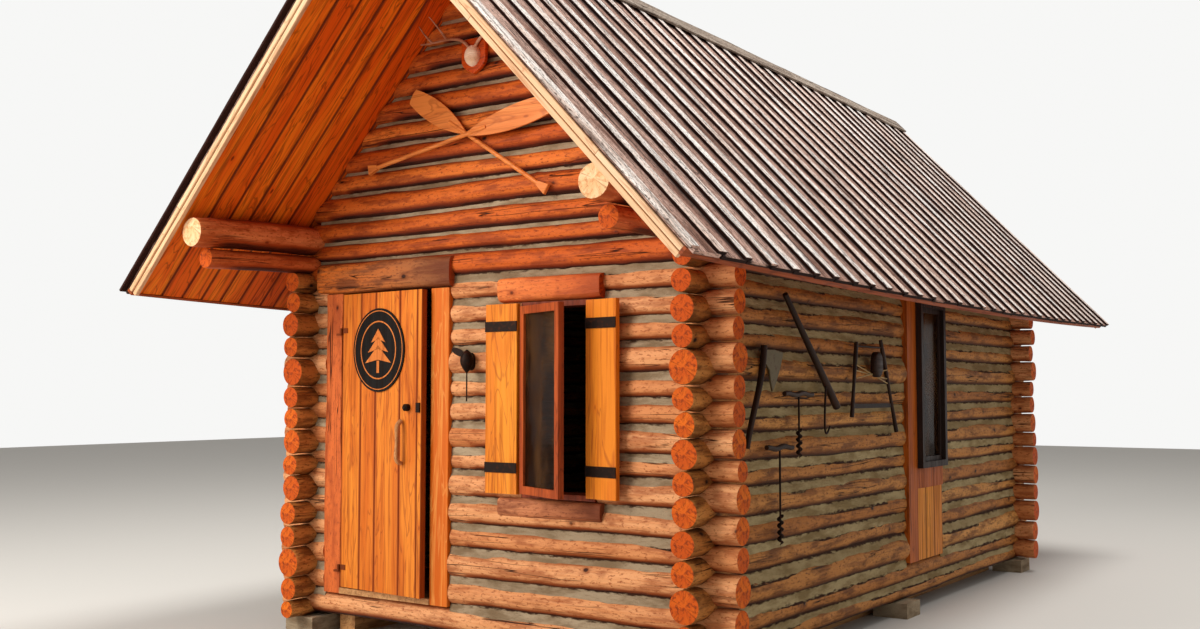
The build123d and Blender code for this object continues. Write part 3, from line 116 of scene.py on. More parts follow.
half_width = WALL_WIDTH / 2
half_length = WALL_LENGTH / 2
side_diameters = SIDE_DIAMETERS + PLATE_DIAMETERS
end_diameters = FRONT_DIAMETERS + GABLE_DIAMETERS
side_heights = stack(BASE_HEIGHT + side_diameters[0] / 2 * MILLIMETRE, side_diameters)
end_heights = stack(BASE_HEIGHT + FRONT_FIRST_HEIGHT, end_diameters)
side_rows = list(zip(side_heights, [size * MILLIMETRE for size in side_diameters]))
end_rows = list(zip(end_heights, [size * MILLIMETRE for size in end_diameters]))
slope = np.tan(ROOF_PITCH)
pitch_run = np.cos(ROOF_PITCH)
pitch_fall = np.sin(ROOF_PITCH)
ridge_soffit = side_rows[-1][0] + side_rows[-1][1] / 2 / pitch_run + half_width * slope
ridge_pole_height = ridge_soffit - RIDGE_POLE_DIAMETER / 2 / pitch_run
roof_front = -half_length - FRONT_OVERHANG
roof_back = half_length + BACK_OVERHANG
eave_down = (half_width + EAVE_OVERHANG - (BOARD_BOTTOM + BOARD_THICKNESS) * pitch_fall) / pitch_run
eave_board_down = eave_down - BOARD_LAP - EAVE_BOARD_THICKNESS
rake_front = roof_front + BOARD_LAP
rake_back = roof_back - BOARD_LAP
roof_middle = (roof_front + roof_back) / 2
roof_half = (roof_back - roof_front) / 2


def eave_bow(y):
    """How far the eave line bows out at a place along the cabin: a parabola between the corners."""
    return EAVE_BOW * (1 - ((y - roof_middle) / roof_half) ** 2)


# How strongly every finish mirrors its surroundings
SHEEN = 0.18


def paint(red, green, blue):
    """A colour written as 0 to 255 on a screen, as the linear light that shaders take."""
    shares = np.array([red, green, blue]) / 255
    linear = np.where(shares < 0.04045, shares / 12.92, ((shares + 0.055) / 1.055) ** 2.4)
    return (*linear.tolist(), 1.0)


class Finish:
    """A material that is being made: its shader, its colour so far, and calls that add to them."""

    def __init__(self, name, base, roughness=0.6, **constants):
        self.material = bpy.data.materials.new(name)
        self.material.use_nodes = True
        self.tree = self.material.node_tree
        self.shader = self.tree.nodes["Principled BSDF"]
        self.shader.inputs["Roughness"].default_value = roughness
        self.shader.inputs["Specular IOR Level"].default_value = SHEEN
        for socket, value in constants.items():
            self.shader.inputs[socket.replace("_", " ")].default_value = value
        self.places = self.add("TexCoord", {})
        self.base = paint(*base)

    def add(self, kind, inputs, **settings):
        """A node of this kind, its inputs linked or set by name or number."""
        node = self.tree.nodes.new("ShaderNode" + kind)
        for key, value in settings.items():
            setattr(node, key, value)
        for key, value in inputs.items():
            if isinstance(value, bpy.types.NodeSocket):
                self.tree.links.new(value, node.inputs[key])
            else:
                node.inputs[key].default_value = value
        return node

    def where(self, stretch, source="UV"):
        """Coordinates of the surface, each axis multiplied by its stretch."""
        return self.add("Mapping", {"Vector": self.places.outputs[source], "Scale": stretch}).outputs[0]

    def noise(self, stretch, detail=3.0, roughness=0.55, source="UV", distortion=0.0):
        """Soft noise whose size along each axis is one over the stretch."""
        inputs = {
            "Vector": self.where(stretch, source),
            "Scale": 1.0,
            "Detail": detail,
            "Roughness": roughness,
            "Distortion": distortion,
        }
        return self.add("TexNoise", inputs).outputs["Fac"]

    def spots(self, stretch, small, large, source="UV"):
        """1 inside round spots, one in each cell of a random pattern, and 0 outside."""
        inputs = {"Vector": self.where(stretch, source), "Scale": 1.0, "Randomness": 0.9}
        cells = self.add("TexVoronoi", inputs)
        return self.band(cells.outputs["Distance"], large, small)

    def band(self, value, low, high, bottom=0.0, top=1.0):
        """A smooth step of the value from low to high."""
        inputs = {"Value": value, "From Min": low, "From Max": high, "To Min": bottom, "To Max": top}
        return self.add("MapRange", inputs, interpolation_type="SMOOTHSTEP").outputs[0]

    def math(self, operation, first, second=0.0):
        """One step of arithmetic."""
        return self.add("Math", {0: first, 1: second}, operation=operation).outputs[0]

    def ridge(self, value, width):
        """1 on the thin line where a noise passes its middle, and 0 away from it."""
        distance = self.math("ABSOLUTE", self.math("SUBTRACT", value, 0.5))
        return self.band(distance, width, 0.0)

    def times(self, first, second):
        """Two values multiplied."""
        return self.math("MULTIPLY", first, second)

    def plus(self, first, *others):
        """Values added up."""
        for other in others:
            first = self.math("ADD", first, other)
        return first

    def lay(self, colour, share, low=None, high=None, top=1.0):
        """A colour laid over those before it: by the share, or by its smooth step from low to high."""
        if low is not None:
            share = self.band(share, low, high, 0.0, top)
        inputs = {0: share, 6: self.base, 7: paint(*colour)}
        self.base = self.add("Mix", inputs, data_type="RGBA").outputs[2]

    def attribute(self, name):
        """A number that the mesh carries at each point."""
        return self.add("Attribute", {}, attribute_name=name).outputs["Fac"]

    def gloss(self, value):
        """The shader's roughness."""
        self.tree.links.new(value, self.shader.inputs["Roughness"])

    def done(self, height=None, distance=0.0):
        """The material. A height of 0 to 1 is its relief and stands for this distance."""
        if height is not None:
            relief = self.add("Bump", {"Height": height, "Distance": distance, "Strength": 1.0})
            self.tree.links.new(relief.outputs[0], self.shader.inputs["Normal"])
        if isinstance(self.base, bpy.types.NodeSocket):
            self.tree.links.new(self.base, self.shader.inputs["Base Color"])
        else:
            self.shader.inputs["Base Color"].default_value = self.base
        return self.material


def peeled_wood(name, light, deep, stain, knot, mottle=0.75):
    """Peeled log: tint from log to log, long streaks, bark left in patches, cracks and knots.

    The dirt-and-shade attribute darkens the flanks that turn into the joints: painted shade there, with some
    stain.
    """
    finish = Finish(name, light, 0.62)
    streaks = finish.noise((2.2, 55, 1), 4.0)
    patches = finish.noise((3.2, 14, 1), 4.0, 0.65)
    flecks = finish.noise((26, 60, 1), 3.0, 0.7)
    knots = finish.spots((5.0, 7.0, 1), 0.05, 0.12)
    halos = finish.spots((5.0, 7.0, 1), 0.11, 0.26)
    cracks = finish.ridge(finish.noise((0.55, 16, 1), 2.0), 0.010)
    cracks = finish.times(cracks, finish.band(finish.noise((0.9, 5, 1), 1.0), 0.52, 0.58))
    # Painted shade in the joints, with some stain, broken up in patches
    grime_and_shade = finish.times(finish.attribute("dirt_and_shade"), finish.band(patches, 0.25, 0.6, 0.7, 1.0))
    # The tone: a random tint from log to log, plus painted shade under the eaves on the side walls
    finish.lay(deep, finish.attribute("tone"))
    finish.lay(stain, patches, 0.44, 0.62, mottle)
    finish.lay(deep, streaks, 0.42, 0.66, 0.45)
    finish.lay(stain, flecks, 0.53, 0.66, 0.8)
    finish.lay(stain, finish.times(halos, 0.5))
    finish.lay(knot, knots)
    finish.lay(knot, cracks)
    finish.lay(stain, grime_and_shade, 0.0, 0.5)
    finish.lay(knot, grime_and_shade, 0.4, 0.95)
    height = finish.plus(
        streaks, finish.times(knots, 0.8), finish.times(patches, 0.9), finish.times(flecks, 0.5)
    )
    return finish.done(finish.math("SUBTRACT", height, finish.times(cracks, 1.6)), 0.006)


def cut_end(name, light, deep, heart):
    """Sawn log end: rings round the pith, a deeper heart, an end darkened towards its lower and upper edge by
    the painted shade of the flanks next to it, and cracks from the pith.
    """
    finish = Finish(name, light, 0.7)
    place = finish.places.outputs["UV"]
    drift = finish.noise((14, 14, 1), 2.0)
    blotches = finish.noise((34, 34, 1), 4.0, 0.65)
    saw = finish.noise((260, 30, 1), 2.0)
    distance = finish.add("VectorMath", {0: place}, operation="LENGTH").outputs["Value"]
    wobble = finish.plus(distance, finish.times(drift, 0.012))
    rings = finish.band(finish.math("SINE", finish.times(wobble, 900.0)), -1.0, 1.0)
    rays = finish.add("VectorMath", {0: place}, operation="NORMALIZE").outputs["Vector"]
    wheel = finish.add("TexNoise", {"Vector": rays, "Scale": 2.6, "Detail": 1.0}).outputs["Fac"]
    cracks = finish.times(finish.ridge(wheel, 0.006), finish.band(distance, 0.012, 0.03))
    finish.lay(deep, finish.attribute("tone"))
    finish.lay(deep, finish.times(rings, 0.5))
    finish.lay(deep, drift, 0.40, 0.58, 0.8)
    finish.lay(heart, blotches, 0.48, 0.64, 0.75)
    # Painted shade from the log's flanks, carried onto the end
    finish.lay(heart, finish.times(finish.attribute("dirt_and_shade"), 0.5))
    finish.lay(heart, cracks)
    return finish.done(finish.plus(finish.math("SUBTRACT", finish.times(saw, 0.4), cracks), blotches), 0.004)


def mortar(name, light, deep):
    """Trowelled mortar: broad patches of tint and grit, and painted shade where it meets the logs."""
    finish = Finish(name, light, 0.9)
    patches = finish.noise((3.5, 3.5, 12), 4.0, 0.6, "Object")
    grit = finish.noise((160, 160, 160), 3.0, 0.6, "Object")
    trowel = finish.noise((14, 14, 60), 3.0, 0.6, "Object")
    finish.lay(deep, patches, 0.36, 0.66)
    finish.lay(deep, trowel, 0.52, 0.72, 0.5)
    finish.lay((70, 58, 44), grit, 0.58, 0.70, 0.35)
    # The tone: a random tint from strip to strip, plus painted shade under the eaves on the side walls
    finish.lay(deep, finish.times(finish.attribute("tone"), 0.45))
    # Painted shade along the edges where the logs meet the mortar, broken up by the trowel marks
    edge = finish.plus(finish.attribute("dirt_and_shade"), finish.band(trowel, 0.3, 0.7, -0.3, 0.3))
    finish.lay((52, 28, 14), edge, 0.35, 0.85)
    return finish.done(finish.plus(finish.times(trowel, 1.4), finish.times(grit, 0.5)), 0.007)


def oiled_wood(name, light, deep, knot, source="UV", along=0, roughness=0.5):
    """Oiled softwood board: figured grain along one axis, tint from board to board, knots.

    Where the attribute "dirt" nears 1, at the joints, the wood is dark.
    """
    def stretch(across, lengthwise):
        return [lengthwise if axis == along else across for axis in range(3)]

    finish = Finish(name, light, roughness)
    figure_stretch, knot_stretch = stretch(7.0, 0.8), stretch(5.5, 2.2)
    grain = finish.noise(stretch(42.0, 1.4), 4.0, 0.6, source, 0.4)
    figure = finish.noise(figure_stretch, 3.0, 0.6, source, 1.2)
    veins = finish.ridge(finish.noise(figure_stretch, 2.0, 0.5, source, 2.4), 0.03)
    halos = finish.spots(knot_stretch, 0.06, 0.17, source)
    knots = finish.spots(knot_stretch, 0.025, 0.065, source)
    finish.lay(deep, figure, 0.40, 0.60, 0.6)
    finish.lay(deep, finish.times(finish.attribute("tone"), 0.8))
    finish.lay(knot, finish.times(veins, 0.5))
    finish.lay(knot, grain, 0.46, 0.68, 0.5)
    finish.lay(deep, finish.times(halos, 0.5))
    finish.lay(knot, finish.times(knots, 0.85))
    finish.lay(knot, finish.attribute("dirt_and_shade"), 0.86, 1.0, 0.85)
    finish.gloss(finish.band(grain, 0.3, 0.7, roughness - 0.08, roughness + 0.16))
    return finish.done(finish.math("SUBTRACT", finish.times(grain, 0.8), finish.times(knots, 0.4)), 0.0016)


def weathered_wood(name, silver, brown, black):
    """Roof board grey from rain: bleached streaks, brown patches, and black on its flanks that is painted shade
    with some mould.
    """
    finish = Finish(name, silver, 0.85)
    streaks = finish.noise((1.1, 34, 1), 5.0, 0.65)
    patches = finish.noise((1.6, 9, 1), 4.0, 0.65)
    blooms = finish.noise((16, 40, 1), 4.0, 0.7)
    specks = finish.noise((24, 110, 1), 4.0, 0.75)
    cracks = finish.ridge(finish.noise((0.5, 22, 1), 2.0), 0.014)
    # Painted shade, with some mould, from the mesh's flank marks and patches
    grime_and_shade = finish.plus(finish.attribute("dirt_and_shade"), finish.band(patches, 0.3, 0.7, -0.15, 0.15))
    finish.lay(brown, finish.times(finish.attribute("tone"), 0.5))
    finish.lay(brown, patches, 0.42, 0.66, 0.9)
    finish.lay(brown, blooms, 0.50, 0.68, 0.6)
    finish.lay(black, streaks, 0.52, 0.68, 0.85)
    finish.lay(black, specks, 0.51, 0.60, 0.85)
    finish.lay(black, cracks)
    finish.lay(black, grime_and_shade, 0.3, 0.8)
    return finish.done(finish.plus(finish.math("SUBTRACT", finish.times(streaks, 1.2), cracks), blooms), 0.005)


def dark_iron(name, scale, rust):
    """Forged iron: black scale with rust in soft patches."""
    finish = Finish(name, scale, 0.55, Metallic=0.6)
    patches = finish.noise((38, 38, 38), 4.0, 0.65, "Object")
    grain = finish.noise((220, 220, 220), 2.0, 0.6, "Object")
    finish.lay(rust, patches, 0.5, 0.72, 0.7)
    return finish.done(finish.plus(patches, finish.times(grain, 0.3)), 0.0012)


def window_glass(name, tint):
    """Old window glass: half clear and tinted dark, as painted shade of the room behind, with a film of dust
    and slow ripples.
    """
    finish = Finish(name, tint, 0.08, Alpha=0.6, IOR=1.25)
    dust = finish.noise((5, 5, 2), 4.0, 0.6, "Object")
    finish.lay((110, 74, 40), dust, 0.4, 0.7, 0.5)
    finish.gloss(finish.band(dust, 0.35, 0.7, 0.05, 0.22))
    return finish.done(finish.noise((3, 3, 2), 1.0, 0.5, "Object"), 0.004)


front_log_finish = peeled_wood(
    "peeled_front", (228, 164, 112), (204, 128, 74), (142, 68, 28), (56, 20, 8), 0.7
)
# The deeper orange of the gable logs is partly painted warm light
gable_log_finish = peeled_wood("peeled_gable", (228, 126, 48), (192, 86, 22), (122, 44, 10), (46, 14, 4))
side_log_finish = peeled_wood("peeled_side", (214, 152, 82), (176, 110, 50), (92, 48, 16), (32, 14, 4), 0.8)
plate_log_finish = peeled_wood("peeled_plate", (236, 146, 88), (208, 104, 48), (162, 68, 24), (76, 26, 8))
orange_end_finish = cut_end("sawn_end", (236, 120, 24), (198, 80, 10), (100, 32, 4))
pale_end_finish = cut_end("pale_sawn_end", (250, 214, 170), (240, 186, 132), (206, 136, 84))
front_mortar_finish = mortar("front_mortar", (176, 156, 128), (124, 102, 76))
side_mortar_finish = mortar("side_mortar", (184, 164, 122), (136, 114, 76))
soffit_finish = oiled_wood("soffit_boards_oiled", (255, 138, 28), (226, 82, 8), (92, 26, 4))
door_finish = oiled_wood("door_planks_oiled", (234, 142, 44), (196, 90, 14), (130, 48, 8))
shutter_finish = oiled_wood("shutter_oiled", (236, 146, 34), (212, 108, 16), (146, 58, 8))
smooth_jamb_finish = oiled_wood("jamb_oiled", (212, 104, 16), (190, 84, 8), (226, 150, 72))
rough_jamb_finish = peeled_wood("hewn_jamb", (228, 130, 66), (206, 100, 44), (160, 70, 30), (90, 36, 14), 0.7)
header_finish = peeled_wood("hewn_header", (224, 116, 36), (150, 92, 52), (104, 50, 22), (48, 20, 8), 0.85)
sill_finish = peeled_wood("hewn_sill", (204, 132, 88), (172, 100, 62), (118, 58, 32), (60, 26, 14), 0.8)
branch_finish = peeled_wood("branch_wood", (214, 158, 104), (176, 112, 66), (126, 74, 42), (70, 36, 18), 0.6)
rake_finish = oiled_wood("rake_boards_pale", (240, 206, 166), (226, 182, 138), (178, 112, 68))
# The eave board's dark orange-brown stands for the shadow it lies in: painted shade
eave_board_finish = oiled_wood("eave_board_painted_shade", (176, 84, 30), (140, 60, 22), (80, 32, 12))
batten_finish = weathered_wood("batten_weathered", (255, 252, 248), (234, 206, 190), (48, 20, 12))
roof_finish = weathered_wood("roof_weathered", (214, 176, 160), (122, 78, 60), (32, 12, 6))
cap_finish = weathered_wood("cap_weathered", (178, 164, 150), (136, 118, 104), (70, 56, 48))
iron_finish = dark_iron("forged_iron", (30, 18, 12), (64, 30, 14))
blade_finish = dark_iron("worn_blade", (96, 84, 62), (70, 46, 26))
rusty_finish = dark_iron("rusty_iron", (120, 56, 24), (90, 40, 18))
handle_finish = oiled_wood("tool_handle", (52, 28, 14), (34, 18, 8), (16, 8, 4))
cord_finish = oiled_wood("saw_cord", (196, 170, 120), (160, 130, 84), (110, 84, 50))
black_paint_finish = oiled_wood("black_paint", (16, 11, 8), (10, 7, 5), (26, 16, 10), "Object", 2, 0.8)
motif_finish = oiled_wood("motif_wood", (220, 132, 60), (200, 108, 40), (150, 72, 24), "Object", 2)
post_finish = oiled_wood("side_post_oiled", (184, 92, 22), (150, 66, 14), (84, 32, 8), "Object", 2)
side_panel_finish = oiled_wood("side_panel_oiled", (234, 150, 34), (206, 118, 22), (120, 58, 10))
dark_frame_finish = oiled_wood("dark_window_frame", (46, 30, 24), (32, 20, 16), (16, 10, 8), "Object", 2)
sash_finish = oiled_wood("sash_stained", (176, 80, 32), (136, 52, 18), (76, 26, 8), "Object", 2)
frame_finish = oiled_wood("frame_stained", (136, 54, 20), (104, 38, 12), (56, 18, 6), "Object", 2)
paddle_finish = oiled_wood("paddle_varnish", (226, 138, 66), (206, 112, 46), (160, 78, 30), "Object", 0, 0.4)
plain_board_finish = oiled_wood("floor_planks", (200, 150, 98), (172, 118, 70), (110, 68, 38), "Object", 1)
shield_finish = oiled_wood("shield_varnish", (214, 86, 22), (176, 60, 12), (96, 30, 6), "UV", 0, 0.35)
hide_finish = mortar("tanned_hide", (255, 232, 206), (226, 186, 150))
antler_finish = mortar("antler", (222, 176, 144), (160, 100, 70))
block_finish = mortar("block_grey", (168, 150, 124), (124, 104, 80))
pane_finish = window_glass("dark_pane", (34, 18, 8))


def waves(distance, turn, seed, lengths, size):
    """A sum of sine waves of these lengths along a piece, each with a random turn and phase."""
    draw = np.random.default_rng(seed)
    total = np.zeros(np.broadcast(distance, turn).shape)
    for number, length in enumerate(lengths):
        phase = draw.uniform(0, 2 * np.pi, 2)
        around = draw.integers(0, 3 + number)
        weight = size / (1 + number)
        total += weight * np.sin(2 * np.pi * distance / length + phase[0]) * np.cos(around * turn + phase[1])
    return total


def skin(verts, along_uv, around_uv, tone, dirt_and_shade=0.0, cap_uv=None):
    """The faces of a grid of points, closed round its second direction.

    With cap_uv the first and last rings get flat ends; without it the grid closes both ways.
    Each next ring lies ahead and each next point anticlockwise, so faces point outward.
    """
    rings, sides = verts.shape[:2]
    looped = cap_uv is None
    i, j = np.meshgrid(np.arange(rings if looped else rings - 1), np.arange(sides), indexing="ij")
    i, j = i.ravel(), j.ravel()
    n, k = (i + 1) % rings, (j + 1) % sides
    quads = np.stack([i * sides + j, i * sides + k, n * sides + k, n * sides + j], 1)
    slip = np.random.default_rng(int(abs(verts[0, 0]).sum() * 1e5) % 2**31).uniform(0, 40, 2)
    corners = [(i, j), (i, j + 1), (i + 1, j + 1), (i + 1, j)]
    side_uv = np.stack([np.stack([along_uv[m] + slip[0], around_uv[n] + slip[1]], 1) for m, n in corners], 1)
    caps, cap_places = [], []
    if not looped:
        order = np.arange(sides)[::-1]
        caps = [order, (rings - 1) * sides + np.arange(sides)]
        cap_places = [cap_uv[0][order], cap_uv[1]]
    return {
        "verts": verts.reshape(-1, 3),
        "quads": quads,
        "quad_uv": side_uv,
        "caps": caps,
        "cap_uv": cap_places,
        "tone": np.broadcast_to(tone, (rings, sides)).ravel(),
        "dirt_and_shade": np.broadcast_to(dirt_and_shade, (rings, sides)).ravel(),
    }


def bar(start, along, across, up, s, a, b, tone, dirt_and_shade=0.0):
    """A closed bar: at station i its outline is start + s*along + a*across + b*up, with flat ends.

    The outline runs anticlockwise seen from the far end, where across x up = along.
    """
    s = np.broadcast_to(s, a.shape)
    verts = np.asarray(start) + s[..., None] * along + a[..., None] * across + b[..., None] * up
    step = np.hypot(np.roll(a, -1, 1) - a, np.roll(b, -1, 1) - b).mean(0)
    around = np.concatenate([[0], np.cumsum(step)])
    cap_uv = [np.stack([a[row], b[row]], 1) for row in (0, -1)]
    return skin(verts, s.mean(1), around, tone, dirt_and_shade, cap_uv)


def tube(path, radii, sides=10, tone=0.5, squash=1.0, reference=Z_AXIS, looped=False):
    """A round bar along a path: at each point of it a circle square to the path, squashed one way."""
    path = np.asarray(path, float)
    if looped:
        ahead = np.roll(path, -1, 0) - np.roll(path, 1, 0)
    else:
        ahead = np.gradient(path, axis=0)
    ahead = ahead / np.linalg.norm(ahead, axis=1)[:, None]
    side = np.cross(ahead, reference)
    side = side / np.linalg.norm(side, axis=1)[:, None]
    rise = np.cross(ahead, side)
    radii = np.broadcast_to(radii, len(path))[:, None]
    turn = np.linspace(0, 2 * np.pi, sides, endpoint=False)[None, :]
    a, b = radii * np.cos(turn), radii * squash * np.sin(turn)
    verts = path[:, None, :] + a[..., None] * side[:, None, :] + b[..., None] * rise[:, None, :]
    length = np.concatenate([[0], np.cumsum(np.linalg.norm(np.diff(path, axis=0), axis=1))])
    length = np.append(length, length[-1] + length[1])
    around = np.linspace(0, 2 * np.pi * float(radii.max()), sides + 1)
    cap_uv = None if looped else [np.stack([a[row], b[row]], 1) for row in (0, -1)]
    return skin(verts, length, around, tone, 0.0, cap_uv)


def bend(points, count=24):
    """A smooth curve through a few points: each coordinate is one polynomial of the chord length."""
    points = np.asarray(points, float)
    chord = np.concatenate([[0], np.cumsum(np.linalg.norm(np.diff(points, axis=0), axis=1))])
    chord = chord / chord[-1]
    share = np.linspace(0, 1, count)
    return np.stack([np.polyval(np.polyfit(chord, axis, len(points) - 1), share) for axis in points.T], 1)


def piece(name, bars, finishes, replaced=(), body="cabin", sharp=40):
    """One mesh from many bars: the first finish on their sides and the last on their ends."""
    verts, loops, counts, uvs, kinds = [], [], [], [], []
    base = 0
    for item in bars:
        verts.append(item["verts"])
        loops.append(item["quads"].ravel() + base)
        counts.append(np.full(len(item["quads"]), 4))
        kinds.append(np.zeros(len(item["quads"]), int))
        uvs.append(item["quad_uv"].reshape(-1, 2))
        for cap, cap_uv in zip(item["caps"], item["cap_uv"]):
            loops.append(cap + base)
            counts.append(np.array([len(cap)]))
            kinds.append(np.array([len(finishes) - 1]))
            uvs.append(cap_uv)
        base += len(item["verts"])
    verts, loops, counts = np.concatenate(verts), np.concatenate(loops), np.concatenate(counts)
    mesh = bpy.data.meshes.new(name)
    mesh.vertices.add(len(verts))
    mesh.vertices.foreach_set("co", verts.astype(np.float32).ravel())
    mesh.loops.add(len(loops))
    mesh.loops.foreach_set("vertex_index", loops.astype(np.int32))
    mesh.polygons.add(len(counts))
    mesh.polygons.foreach_set("loop_start", np.concatenate([[0], np.cumsum(counts)[:-1]]).astype(np.int32))
    mesh.update(calc_edges=True)
    for finish in finishes:
        mesh.materials.append(finish)
    mesh.polygons.foreach_set("material_index", np.concatenate(kinds).astype(np.int32))
    mesh.polygons.foreach_set("use_smooth", np.ones(len(counts), bool))
    layer = mesh.uv_layers.new(name="UVMap")
    layer.data.foreach_set("uv", np.concatenate(uvs).astype(np.float32).ravel())
    for label in ("tone", "dirt_and_shade"):
        values = np.concatenate([item[label] for item in bars]).astype(np.float32)
        mesh.attributes.new(label, "FLOAT", "POINT").data.foreach_set("value", values)
    mesh.set_sharp_from_angle(angle=np.radians(sharp))
    mesh.validate()
    built = bpy.data.objects.new(name, mesh)
    bpy.context.scene.collection.objects.link(built)
    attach(built, body)
    if replaced:
        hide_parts(*replaced)
    return built


# Detail of the logs: how far they wander, their outline, and knots with the size of their swellings
CROOK = 0.005
RING_SPACING = 0.06
LOG_SIDES = 22
END_LIP = 0.007
KNOTS_PER_METRE = 3
KNOT_RISE = (0.003, 0.009)
KNOT_SPREAD = 0.034


def peeled_log(start, along, across, radius, low, high, seed, slant=0.0, droop=0.0, painted_shade=0.0):
    """A log: radius times 1 + waves + swellings at knots, on a middle line that wanders.

    With a slant, each end leans in by slant metres for each metre of height over the middle, as
    where a roof slope trims it. A droop lowers the front end by the power 1.5 of its reach past
    the wall. Painted shade, as under the eaves, deepens the tint of the log by the amount given.
    The flanks that turn into the joints get painted shade too, less on the stubs past the walls.
    """
    draw = np.random.default_rng(seed)
    length = high - low
    share = np.linspace(0, 1, max(8, int(length / RING_SPACING)))
    lip = END_LIP / length
    share = np.unique(np.concatenate([[0, lip, 1 - lip, 1], share[1:-1]]))[:, None]
    turn = np.linspace(0, 2 * np.pi, LOG_SIDES, endpoint=False)[None, :]
    distance = low + share * length
    swell = waves(distance, turn, seed, (1.9, 0.83, 0.37, 0.23, 0.13), 0.030)
    taper = draw.choice([-1, 1]) * 0.025 * (share - 0.5) * min(1, length / 3)
    r = radius * (1 + swell + taper)
    for _ in range(int(length * KNOTS_PER_METRE)):
        at, side = draw.uniform(low, high), draw.uniform(0, 2 * np.pi)
        gap = (turn - side + np.pi) % (2 * np.pi) - np.pi
        away = (distance - at) ** 2 + (radius * gap) ** 2
        r = r + draw.uniform(*KNOT_RISE) * np.exp(-away / KNOT_SPREAD**2)
    edge = np.minimum(share, 1 - share) * length
    r = r * (1 - 0.035 * np.exp(-edge / 0.004))
    fade = np.minimum(1, edge / 0.25)
    sway = waves(distance, 0 * turn, seed + 1, (3.3, 1.7), CROOK) * fade
    lift = waves(distance, 0 * turn, seed + 2, (2.9, 1.3), CROOK) * fade
    a = r * np.cos(turn) + sway
    past = np.clip((-half_length - distance) / PLATE_LOG_REACH[1], 0, 1)
    b = r * np.sin(turn) + lift - droop * past**1.5
    s = low + slant * b + share * (length - 2 * slant * b)
    # Painted shade in the joints: full on the underside, 0.7 on the upper flank, and 0.3 of that on the stubs
    # past the walls
    under = np.clip((-np.sin(turn) - 0.38) / 0.40, 0, 1)
    flank = under + 0.7 * np.clip((np.sin(turn) - 0.62) / 0.3, 0, 1)
    # A random tint, plus painted shade as under the eaves
    tone = min(1.6, draw.uniform(0, 1) + painted_shade)
    stub = np.clip((0.20 - np.minimum(distance - low, high - distance)) / 0.05, 0, 1)
    return bar(start, along, across, Z_AXIS, s, a, b, tone, flank * (1 - 0.7 * stub))


# How far the mortar stands out at its foot and at its head, as shares of the logs' radii
WALL_MORTAR = (0.82, 0.56)
SIDE_MORTAR = (0.90, 0.64)
GABLE_MORTAR = (0.60, 0.36)
# How far the mortar reaches along the end walls and the side walls, from their middles
MORTAR_ENDS = 1.487
MORTAR_SIDES = 2.7396
# Half the height that a strip of mortar is taken to have where openings cut it
MORTAR_HALF = 0.03
# Height above the ground at which the painted shade under the eaves of the side walls is whole
EAVE_SHADE_HEIGHT = 2.6


def mortar_strip(start, along, across, rows, low, high, faces, seed, slant=0.0, painted_shade=0.0):
    """Mortar between two logs: its face leans from the lower log in under the upper one.

    At share t of its height the face stands faces[0] + (faces[1] - faces[0]) * t radii out,
    plus waves. Painted shade darkens its two edges, where it meets the logs, and painted
    shade as under the eaves deepens its tone by the amount given.
    """
    (z_low, size_low), (z_high, size_high) = rows
    length = high - low
    s = np.linspace(0, length, max(3, int(length / 0.09)))[:, None]
    share = np.array([0.0, 0.12, 0.25, 0.45, 0.6, 0.72, 0.82, 1.0])[None, :]
    foot, head = z_low + 0.15 * size_low, z_high - 0.25 * size_high
    b = foot + (head - foot) * share
    inner, outer = faces[0] * size_low / 2, faces[1] * size_high / 2
    face = inner + (outer - inner) * share + waves(low + s, 6 * share, seed, (0.71, 0.33, 0.19), 0.0035)
    a = np.concatenate([face, -face[:, ::-1]], 1)
    b = np.concatenate([b, b[:, ::-1]], 1) + 0 * s - start[2]
    # Painted shade: dark at the foot and under the upper log, light in the middle
    edge = np.array([[1.0, 0.75, 0.2, 0.0, 0.1, 0.5, 1.0, 1.0]])
    dirt_and_shade = np.concatenate([edge, edge[:, ::-1]], 1) + 0 * s
    stations = low + slant * b + s / length * (length - 2 * slant * b)
    draw = np.random.default_rng(seed + 3)
    return bar(start, along, across, Z_AXIS, stations, a, b, draw.uniform(0, 1) + painted_shade, dirt_and_shade)


def end_wall_log(y, height, radius, low, high, seed, slant=0.0):
    """A log of the front or back wall, from low to high along X."""
    return peeled_log(np.array([0, y, height]), X_AXIS, Y_AXIS, radius, low, high, seed, slant)


def side_wall_log(x, height, radius, low, high, seed, droop=0.0, painted_shade=0.0):
    """A log of a side wall, from low to high along Y."""
    start = np.array([x, 0, height])
    return peeled_log(start, Y_AXIS, -X_AXIS, radius, low, high, seed, 0.0, droop, painted_shade)


def stretches(low, high, height, radius, openings):
    """Parts of a log between low and high that openings in the wall leave."""
    parts = [(low, high)]
    for left, right, bottom, top in openings:
        shared = min(top, height + radius) - max(bottom, height - radius)
        if shared > 0.5 * radius:
            parts = [cut for a, b in parts for cut in ((a, min(b, left)), (max(a, right), b))]
            parts = [(a, b) for a, b in parts if b - a > 0.02]
    return parts


wall_reach = half_width + CORNER_END
side_reach = half_length + CORNER_END
gable_start = len(FRONT_DIAMETERS) - FULL_LOGS_IN_GABLE
draw_ends = np.random.default_rng(7)


def jitter():
    """How far a log end stops short of its full reach."""
    return draw_ends.uniform(0.0, 0.028)


def full_end_logs(y, rows, seed):
    """Whole logs of an end wall."""
    return [
        end_wall_log(y, z, size / 2, -wall_reach + jitter(), wall_reach - jitter(), seed + number)
        for number, (z, size) in enumerate(rows)
    ]


